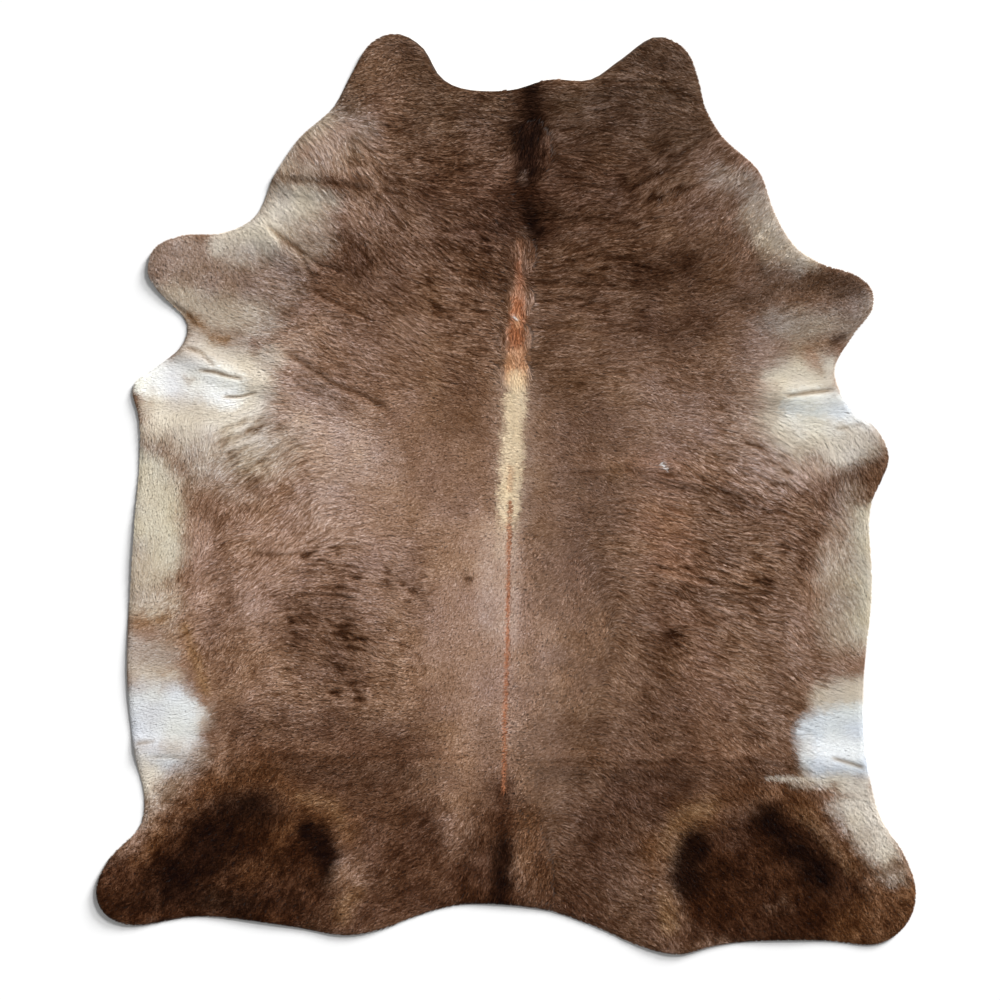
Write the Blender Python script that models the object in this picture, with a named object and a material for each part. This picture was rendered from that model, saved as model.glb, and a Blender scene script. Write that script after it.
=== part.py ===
"""Cowhide rug: one whole hide with its hair on, laid flat on a floor, hair side up.

Metres, +Z up. +Y runs from the rump to the neck and the spine lies along Y. The origin is on
the floor under the middle of the hide. The sheet is the leather with the coat lying flat on
it. It rests on the floor except where a soft fold or the waving rim lifts it.
"""

import math

import bmesh
import bpy
from mathutils import Vector, kdtree, noise
from mathutils.geometry import delaunay_2d_cdt, intersect_point_line

MM = 0.001

# Sheet
LEATHER_THICKNESS = 2.6 * MM
COAT_DEPTH = 3.6 * MM
COAT_ROUNDING = 11 * MM  # width of the rim over which the coat rises to its full depth
COAT_UNEVENNESS = 0.35 * MM
UNEVENNESS_SPACING = 170 * MM

# Mesh
RIM_STEP = 23 * MM
RIM_ROWS = (COAT_ROUNDING, 33 * MM)
FIELD_STEP = 46 * MM
FOLD_STEP = 34 * MM
FOLD_ROWS = (-0.95, -0.5, 0.0, 0.5, 0.95)  # in half widths, across a fold
CLOSEST_POINTS = 0.55  # of the row's or the field's own step
CURVE_STEPS = 16  # between two landmarks

# The cut edge, clockwise from the left of the neck, seen from above. Each row is a stretch
# of the hide and its landmarks, (x, y) in millimetres, joined by one smooth curve.
OUTLINE_MM = {
    "neck end": ((-110, 995), (10, 990), (105, 1016), (205, 1015), (277, 1062)),
    "neck corner, right": ((368, 1120), (438, 1088), (470, 1015), (485, 950)),
    "shoulder, right": ((530, 873), (618, 790), (654, 694), (705, 608), (774, 562)),
    "foreleg, right": ((850, 538), (893, 503), (896, 455), (850, 392), (802, 305)),
    "elbow, right": ((832, 225), (908, 158), (936, 88), (917, 34)),
    "flank, right": ((891, -30), (894, -240), (873, -480), (885, -675), (920, -800)),
    "hind leg, right": ((972, -878), (1002, -975), (979, -1052), (912, -1099), (770, -1091)),
    "thigh, right": ((590, -1094), (505, -1105), (422, -1125), (328, -1105)),
    "rump": ((210, -1054), (90, -1015), (-110, -1003), (-215, -1030)),
    "thigh, left": ((-300, -1062), (-395, -1078), (-530, -1056), (-750, -1032)),
    "hind leg, left": ((-923, -1053), (-983, -1024), (-1002, -970), (-968, -890), (-893, -810)),
    "flank, left": ((-885, -736), (-907, -640), (-926, -450), (-911, -90), (-898, 70)),
    "elbow, left": ((-897, 185), (-912, 266), (-857, 309), (-790, 365), (-780, 421)),
    "foreleg, left": ((-834, 480), (-876, 540), (-861, 600), (-794, 632), (-690, 639)),
    "shoulder, left": ((-612, 680), (-566, 780), (-503, 873), (-421, 947)),
    "neck corner, left": ((-376, 1030), (-328, 1105), (-265, 1127), (-205, 1095), (-160, 1022)),
}

# Soft folds left from the time the hide lay folded: height and half width in millimetres,
# then the crest's points, (x, y) in millimetres. A crest runs out over the rim or fades.
FOLDS_MM = {
    "across the thighs, left": (4.5, 48, ((-1000, -618), (-760, -640), (-420, -650), (-60, -655))),
    "across the thighs, right": (4.0, 46, ((20, -660), (380, -662), (700, -650), (980, -655))),
    "under the left foreleg": (5.0, 40, ((-860, 390), (-720, 310), (-600, 270), (-480, 285))),
    "under the right foreleg": (4.5, 40, ((900, 262), (760, 238), (640, 250), (540, 215))),
    "behind the left foreleg": (3.5, 36, ((-505, 330), (-430, 270), (-355, 225))),
    "left shoulder": (5.0, 42, ((-640, 690), (-560, 610), (-490, 540), (-490, 470))),
    "below the left shoulder": (3.5, 38, ((-490, 500), (-410, 455), (-320, 425))),
    "left of the neck": (5.5, 40, ((-640, 800), (-520, 770), (-420, 762), (-310, 745))),
    "neck end": (3.5, 34, ((60, 975), (230, 1000), (360, 1010), (520, 985))),
    "across the neck": (3.0, 40, ((-250, 705), (-110, 730), (60, 725), (230, 700))),
    "right flank": (3.5, 44, ((110, 45), (330, 60), (520, 30), (660, -20))),
    "right side": (3.5, 44, ((330, -180), (470, -225), (650, -215))),
    "left side": (3.0, 42, ((-560, -250), (-450, -248), (-340, -235))),
}
FOLD_FADE = 90 * MM  # length over which a crest rises from its end

# Where the rim waves off the floor: centre (x, y), reach and lift in millimetres.
RIM_WAVES_MM = {
    "neck corner, left": (-330, 1160, 190, 6.5),
    "neck corner, right": (420, 1150, 210, 5.5),
    "shoulder, left": (-560, 900, 150, 3.5),
    "foreleg, left": (-930, 590, 230, 7.5),
    "elbow, left": (-960, 210, 170, 5.0),
    "flank, left": (-975, -130, 210, 5.5),
    "flank, left, low": (-985, -430, 190, 4.5),
    "hind leg, left": (-1050, -1010, 230, 8.0),
    "thigh, left": (-600, -1110, 200, 4.5),
    "thigh, left, inner": (-370, -1140, 170, 5.5),
    "rump": (0, -1060, 150, 3.5),
    "thigh, right": (430, -1180, 190, 5.5),
    "thigh, right, outer": (690, -1150, 170, 4.0),
    "hind leg, right": (1050, -1040, 240, 7.0),
    "flank, right, low": (940, -560, 190, 4.0),
    "flank, right": (950, -190, 200, 4.5),
    "elbow, right": (1000, 110, 190, 6.0),
    "foreleg, right": (960, 520, 220, 6.5),
    "shoulder, right": (640, 830, 150, 3.0),
}

# Hair: taupe brown, dull
COAT_COLOUR = (0.155, 0.102, 0.072, 1.0)
COAT_ROUGHNESS = 0.85


def clear_scene():
    """Removes whatever objects the new file holds."""
    for thing in list(bpy.data.objects):
        bpy.data.objects.remove(thing, do_unlink=True)


def flat_points(pairs_mm):
    """Millimetre pairs as flat vectors in metres."""
    return [Vector((x, y)) * MM for x, y in pairs_mm]


def curve_between(before, start, end, after):
    """Points from start up to, not with, end on a centripetal Catmull-Rom curve."""
    knots = [0.0]
    line = (before, start, end, after)
    for a, b in zip(line, line[1:]):
        knots.append(knots[-1] + math.sqrt((b - a).length))
    t0, t1, t2, t3 = knots
    points = []
    for i in range(CURVE_STEPS):
        t = t1 + (t2 - t1) * i / CURVE_STEPS
        a1 = before * ((t1 - t) / (t1 - t0)) + start * ((t - t0) / (t1 - t0))
        a2 = start * ((t2 - t) / (t2 - t1)) + end * ((t - t1) / (t2 - t1))
        a3 = end * ((t3 - t) / (t3 - t2)) + after * ((t - t2) / (t3 - t2))
        b1 = a1 * ((t2 - t) / (t2 - t0)) + a2 * ((t - t0) / (t2 - t0))
        b2 = a2 * ((t3 - t) / (t3 - t1)) + a3 * ((t - t1) / (t3 - t1))
        points.append(b1 * ((t2 - t) / (t2 - t1)) + b2 * ((t - t1) / (t2 - t1)))
    return points


def evenly_spaced(loop, step):
    """The closed loop's line walked in equal steps as near to step as will fit."""
    ends = loop[1:] + loop[:1]
    lengths = [(b - a).length for a, b in zip(loop, ends)]
    count = round(sum(lengths) / step)
    stride = sum(lengths) / count
    points = []
    walked = 0.0
    for a, b, length in zip(loop, ends, lengths):
        while len(points) < count and len(points) * stride < walked + length:
            points.append(a.lerp(b, (len(points) * stride - walked) / length))
        walked += length
    return points


def hide_outline():
    """The cut edge as evenly spaced points, centred on the origin, and the shift made."""
    marks = [p for stretch in OUTLINE_MM.values() for p in flat_points(stretch)]
    curve = []
    for i in range(len(marks)):
        around = [marks[(i + k) % len(marks)] for k in (-1, 0, 1, 2)]
        curve += curve_between(*around)
    points = evenly_spaced(curve, RIM_STEP)
    middle = Vector([(min(p[k] for p in points) + max(p[k] for p in points)) / 2 for k in (0, 1)])
    return [p - middle for p in points], middle


def tree_of(points):
    """A search tree of flat points."""
    tree = kdtree.KDTree(len(points))
    for i, p in enumerate(points):
        tree.insert(p.to_3d(), i)
    tree.balance()
    return tree


def inward(outline):
    """The unit normal into the hide at each point of a clockwise outline."""
    normals = []
    for i, p in enumerate(outline):
        along = (outline[(i + 1) % len(outline)] - outline[i - 1]).normalized()
        normals.append(Vector((along.y, -along.x)))
    return normals


def is_inside(p, outline):
    """Whether a flat point lies within the outline, by counting crossings."""
    inside = False
    for a, b in zip(outline, outline[1:] + outline[:1]):
        if (a.y > p.y) != (b.y > p.y) and p.x < a.x + (p.y - a.y) * (b.x - a.x) / (b.y - a.y):
            inside = not inside
    return inside


class Field:
    """Points of the sheet, each kept only if it isn't crowded and is inside the rim."""

    def __init__(self, outline):
        self.outline = outline
        self.rim = tree_of(outline)
        self.points = list(outline)
        self.cells = {}
        for p in outline:
            self.cells.setdefault(self.cell(p), []).append(p)

    def cell(self, p):
        return math.floor(p.x / FIELD_STEP), math.floor(p.y / FIELD_STEP)

    def crowded(self, p, gap):
        column, row = self.cell(p)
        around = [(column + i, row + j) for i in (-1, 0, 1) for j in (-1, 0, 1)]
        return any((q - p).length < gap for c in around for q in self.cells.get(c, ()))

    def add(self, p, gap, rim_gap):
        """Adds p unless a point lies nearer than gap or the rim nearer than rim_gap."""
        if self.rim.find(p.to_3d())[2] < rim_gap or self.crowded(p, gap):
            return
        if is_inside(p, self.outline):
            self.points.append(p)
            self.cells.setdefault(self.cell(p), []).append(p)


def fold_crests(shift):
    """Each fold as its crest's points, height and half width, in metres."""
    return [
        ([p - shift for p in flat_points(crest)], height * MM, half * MM)
        for height, half, crest in FOLDS_MM.values()
    ]


def rim_waves(shift):
    """Each wave as its centre, reach and lift, in metres."""
    return [
        (Vector((x, y)) * MM - shift, reach * MM, lift * MM)
        for x, y, reach, lift in RIM_WAVES_MM.values()
    ]


def soft_hump(share):
    """1 at the middle, level there, and 0 from share 1 outwards."""
    return max(0.0, 1.0 - share * share) ** 2


def fold_lift(p, crest, height, half):
    """How far a fold lifts the sheet at p."""
    whole = sum((b - a).length for a, b in zip(crest, crest[1:]))
    walked = 0.0
    lift = 0.0
    for a, b in zip(crest, crest[1:]):
        length = (b - a).length
        nearest, share = intersect_point_line(p, a, b)
        share = min(1.0, max(0.0, share))
        away = (p - a.lerp(b, share)).length / half
        along = walked + share * length
        from_end = min(1.0, along / FOLD_FADE, (whole - along) / FOLD_FADE)
        lift = max(lift, height * soft_hump(away) * (1.0 - soft_hump(from_end)))
        walked += length
    return lift


def underside_height(p, crests, waves):
    """The height of the leather's underside above the floor at p."""
    folds = max(fold_lift(p, *crest) for crest in crests)
    rim = max(lift * soft_hump((p - centre).length / reach) for centre, reach, lift in waves)
    return math.hypot(folds, rim)


def thickness(p, from_rim):
    """Leather and coat together at p, thinner at the cut edge."""
    rise = math.sqrt(1.0 - (1.0 - min(1.0, from_rim / COAT_ROUNDING)) ** 2)
    uneven = noise.noise((p / UNEVENNESS_SPACING).to_3d()) * COAT_UNEVENNESS
    return LEATHER_THICKNESS + COAT_DEPTH * rise + uneven * rise


def field_points(outline, crests):
    """The sheet's points: rows along the rim, rows along the folds, and an even field."""
    field = Field(outline)
    for row in RIM_ROWS:
        for p, normal in zip(outline, inward(outline)):
            field.add(p + normal * row, RIM_STEP * CLOSEST_POINTS * row / RIM_ROWS[-1], row * 0.8)
    for crest, _, half in crests:
        for a, b in zip(crest, crest[1:]):
            steps = max(1, round((b - a).length / FOLD_STEP))
            across = Vector((a.y - b.y, b.x - a.x)).normalized() * half
            for i in range(steps):
                for row in FOLD_ROWS:
                    p = a.lerp(b, i / steps) + across * row
                    field.add(p, half * CLOSEST_POINTS / 2, RIM_STEP)
    low = Vector([min(p[k] for p in outline) for k in (0, 1)])
    high = Vector([max(p[k] for p in outline) for k in (0, 1)])
    rise = FIELD_STEP * math.sin(math.radians(60))
    for row in range(math.ceil((high.y - low.y) / rise)):
        for column in range(math.ceil((high.x - low.x) / FIELD_STEP) + 1):
            x = low.x + (column + 0.5 * (row % 2)) * FIELD_STEP
            field.add(Vector((x, low.y + row * rise)), FIELD_STEP * CLOSEST_POINTS, FIELD_STEP)
    return field


def coat_material():
    material = bpy.data.materials.new("hair_coat")
    material.use_nodes = True
    shader = material.node_tree.nodes["Principled BSDF"]
    shader.inputs["Base Color"].default_value = COAT_COLOUR
    shader.inputs["Roughness"].default_value = COAT_ROUGHNESS
    shader.inputs["Metallic"].default_value = 0.0
    return material


def make_hide():
    """The whole sheet: its underside is triangulated, extruded up and given its coat."""
    outline, shift = hide_outline()
    crests = fold_crests(shift)
    waves = rim_waves(shift)
    field = field_points(outline, crests)
    edge = [(i, (i + 1) % len(outline)) for i in range(len(outline))]
    flat, _, faces, *_ = delaunay_2d_cdt(field.points, edge, [], 1, 1e-7)

    bm = bmesh.new()
    under = [bm.verts.new((p.x, p.y, underside_height(p, crests, waves))) for p in flat]
    for face in faces:
        bm.faces.new([under[i] for i in face])
    raised = bmesh.ops.extrude_face_region(bm, geom=list(bm.faces))["geom"]
    for vert in (v for v in raised if isinstance(v, bmesh.types.BMVert)):
        p = vert.co.to_2d()
        from_rim = field.rim.find(p.to_3d())[2]
        vert.co.z += thickness(p, from_rim)
    bmesh.ops.triangulate(bm, faces=list(bm.faces))
    bmesh.ops.recalc_face_normals(bm, faces=list(bm.faces))

    mesh = bpy.data.meshes.new("hide")
    bm.to_mesh(mesh)
    bm.free()
    mesh.materials.append(coat_material())
    mesh.shade_smooth()
    mesh.set_sharp_from_angle(angle=math.radians(40))
    hide = bpy.data.objects.new("hide", mesh)
    bpy.context.scene.collection.objects.link(hide)
    return hide


clear_scene()
make_hide()
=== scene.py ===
"""Cowhide rug: the leather sheet, its coat of lying locks of hair and a plain studio stage.

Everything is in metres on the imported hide, which lies flat with the neck at +Y and the hair
side up. Tables are in millimetres and degrees. Headings turn anticlockwise from +X.
"""

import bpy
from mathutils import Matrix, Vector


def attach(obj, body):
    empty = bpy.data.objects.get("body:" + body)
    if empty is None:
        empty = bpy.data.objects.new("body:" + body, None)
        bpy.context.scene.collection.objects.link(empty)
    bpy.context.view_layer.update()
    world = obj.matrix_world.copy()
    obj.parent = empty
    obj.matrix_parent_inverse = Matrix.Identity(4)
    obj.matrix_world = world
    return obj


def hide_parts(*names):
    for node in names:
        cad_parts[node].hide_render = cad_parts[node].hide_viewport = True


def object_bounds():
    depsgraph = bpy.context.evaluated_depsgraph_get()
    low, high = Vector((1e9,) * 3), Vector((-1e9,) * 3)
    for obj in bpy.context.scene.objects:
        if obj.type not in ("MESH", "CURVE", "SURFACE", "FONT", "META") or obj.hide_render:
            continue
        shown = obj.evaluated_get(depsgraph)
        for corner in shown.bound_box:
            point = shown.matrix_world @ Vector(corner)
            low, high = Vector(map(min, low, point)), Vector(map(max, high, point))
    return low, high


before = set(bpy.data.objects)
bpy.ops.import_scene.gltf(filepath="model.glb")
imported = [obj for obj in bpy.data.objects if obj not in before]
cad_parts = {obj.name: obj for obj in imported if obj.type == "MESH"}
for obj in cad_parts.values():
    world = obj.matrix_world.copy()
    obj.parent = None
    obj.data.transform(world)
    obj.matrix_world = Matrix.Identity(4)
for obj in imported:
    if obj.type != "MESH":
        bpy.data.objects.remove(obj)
cad_box = [list(corner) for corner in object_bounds()]

import functools
import math

import bmesh
import bpy
import numpy as np
from bpy.props import FloatProperty, FloatVectorProperty, IntProperty, PointerProperty
from bpy.types import Operator, Panel, PropertyGroup
from mathutils import Vector
from mathutils.bvhtree import BVHTree

bl_info = {
    "name": "Cowhide rug",
    "version": (1, 0, 0),
    "blender": (4, 5, 0),
    "location": "3D View > Sidebar > Rug",
    "description": "Lays a cowhide rug: leather, coat of hair and a studio floor",
    "category": "Object",
}

MM = 0.001
NODE = "hide"
BODY = "root"
LEATHER = "leather"

# Rasters on which fields are worked out, and how far past the hide they reach
MARGIN = 36 * MM
HEIGHT_PITCH = 8 * MM
COAT_PITCH = 2.5 * MM

# Hair colours on screen, 0 to 255: where each shows, then red, green and blue
PALETTE = {
    "taupe": ("Back and sides", (126, 97, 78)),
    "fawn": ("Ribs and beside the spine", (147, 119, 102)),
    "pale_fawn": ("Palest hair of the ribs", (166, 142, 127)),
    "brown": ("Shoulders and haunches", (104, 76, 58)),
    "neck_brown": ("Neck and forelegs", (87, 65, 50)),
    "dark_brown": ("Rump and thighs", (79, 53, 38)),
    "chestnut": ("Edges of the hind legs", (90, 58, 35)),
    "umber": ("Hind legs", (54, 29, 14)),
    "black_brown": ("Round patches and neck stripe", (26, 10, 4)),
    "rust": ("Middle of the back stripe", (152, 94, 62)),
    "tan": ("Tan of the back stripe", (184, 140, 106)),
    "rosy": ("Ends of the back stripe", (146, 106, 82)),
    "tawny": ("Edges of the dark patches", (131, 99, 69)),
    "stone": ("Forelegs and neck's sides", (147, 131, 118)),
    "pale_stone": ("Edges of the chest", (170, 157, 142)),
    "cream": ("Chest", (200, 191, 176)),
    "olive_cream": ("Rims of the flanks", (191, 185, 168)),
    "gold_cream": ("Cream of the back stripe", (211, 192, 163)),
    "white": ("Armpits", (228, 229, 226)),
    "blue_white": ("Flank patches", (204, 209, 213)),
}

RAGGEDNESS = 0.2   # how far a marking's edge strays, as a share of its fade
STRAY = 1.8 * MM   # how far off a lock may take its colour
SKIN_SHADE = 0.6   # painted shade on the skin under dark hair, as a share of the hair's colour
SKIN_PALE = 0.6    # brightness of hair from which the skin under it is as pale
FINE_STRAY = 6.0   # most that the finest noise moves a marking's edge, in millimetres

# A lock's root, left, right and tip: share of its length, side, and depth in the coat from 0 at
# the skin to 1; the painted shade there, dark at the root as in the coat's shadow and light at the
# tip where the light falls on it; the place on the lock's own map; its two triangles
LOCK_CORNERS = ((0, 0, 0.3), (0.42, 1, 0.42), (0.42, -1, 0.42), (1, 0, 0.84))
CORNER_PAINTED_SHADES = (0.55, 0.95, 0.95, 1.12)
CORNERS_ON_MAP = ((0.5, 0.02), (0.02, 0.42), (0.98, 0.42), (0.5, 0.98))
LOCK_TRIANGLES = (0, 2, 3, 0, 3, 1)

# Which end of the hair's way a lock points to: half width of the spine over which left turns
# to right, pull towards the rump, and how far that is mixed
SPINE_HALF = 90 * MM
RUMPWARD = 0.5
FRONT_MIX = 0.25

# How single locks differ: length, half width, depth; shortest share left at the rim
LENGTH_SPREAD = (0.75, 1.2)
WIDTH_SPREAD = (0.75, 1.25)
DEPTH_SPREAD = 0.12
SHORTEST = 0.15

# Sleek hair: the contrast above which there is none, how much broader its locks are, how far
# they flatten to the middle of the coat's depth, and how much painted shade dims them, in place of
# the shade of dark gaps, which they leave none of
SLEEK_CONTRAST = 0.35
SLEEK_BROADENING = 0.45
SLEEK_FLATTENING = 0.5
LOCK_MIDDLE = 0.55
SLEEK_PAINTED_SHADE = 0.09

# What the coat's fields do to the tone, and the limits of the tone. The streaks are painted light
# on the coat's ripples and painted shade in their troughs; the lines are painted shade in its
# grooves.
STREAK_TONE = 0.3
LINE_SHADE = 2.3
SPOT_DARKENING = 1.1
TONE_LIMITS = (-1.5, 1.0)
TONE_CHANNELS = (0.8, 1.0, 1.22)  # how much a change of tone does to red, green and blue
WARM_CHANNELS = (0.03, 0.01, -0.07)  # what the coat's warmer parts add to each

# Pale hair: the brightness from which it is wholly pale, and the share that it loses of the
# tones, of the corners' shades and of the strands
PALE = 0.5
PALE_TONE_LOSS = 0.93
PALE_SHADE_LOSS = 0.8
PALE_STRAND_LOSS = 0.7

# Strands in a lock: their share where the coat has no contrast, the contrast from which all of
# them show, and the brightness and loss by which pale hair shows fewer
FEWEST_STRANDS = 0.45
STRAND_CONTRAST = 0.5
STRAND_PALE = 0.55
STRAND_PALE_LOSS = 0.6

# The coat at the rim: inset of the roots, reach of the tips past it, share of the coat's depth
# that is left there, and the width over which it comes to that
RIM_CLEARANCE = 0.8 * MM
RIM_FRINGE = 3 * MM
RIM_DEPTH = 0.35
RIM_ROUNDING = 11 * MM

# The coat's relief: its finest ripples, the depth of its dark lines, and the least that is left
# of it over the skin and over the floor
FINE_RIPPLE = 0.15 * MM
GROOVE = 1.8 * MM
LEAST_COAT = 0.2 * MM
LEAST_HEIGHT = 0.3 * MM

# Streaks along the hair: blurs of the noise, steps by which it is drawn out, and blurs that
# leave its slow changes, which are then taken out of it
BROAD_STREAKS = (1, 7, 12)
FINE_STREAKS = (0, 5, 6)
LINE_STREAKS = (2, 16, 16)
SPOT_STREAKS = (2, 5, 24)
LINE_WIDTH = 0.24
SWERVE = math.radians(22)  # how far the way of the hair swerves

# Short creases: lift and half width in millimetres
SHORT_CREASE_LIFT = -0.35
SHORT_CREASE_HALF = 5.4

# Creases, as shares of their half width: how far they are drawn, how far they wander, and how
# wide the painted shade on their hair is. Then the limits of that painted shade, which is painted
# light below 0.
CREASE_REACH = 5
CREASE_WANDER = 0.35
CREASE_SHADE_HALF = 0.75
CREASE_SHADE_LIMITS = (-0.3, 0.85)

# The leather's mesh: weld, lift from which a crease is there, edges near it in two rounds
WELD = 0.01 * MM
NEAR_CREASE = 0.15 * MM
CREASE_EDGES = (14 * MM, 9 * MM)

NOISE_RANGE = (0.3, 0.7)  # where most of a noise node's values lie
FLOOR_HALF = 12  # metres
FLOOR_DROP = 0.5 * MM

# Pieces of the coat: name, then the low and high x and y, in metres. A lock goes to the first.
COAT_PIECES = (
    ("coat_neck", -2, 0.62, 2, 2),
    ("coat_shoulders", -2, 0.25, 2, 0.62),
    ("coat_rump", -2, -2, 2, -0.68),
    ("coat_left_side", -2, -2, -0.3, 2),
    ("coat_right_side", 0.3, -2, 2, 2),
    ("coat_back", -2, -2, 2, 2),
)

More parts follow.
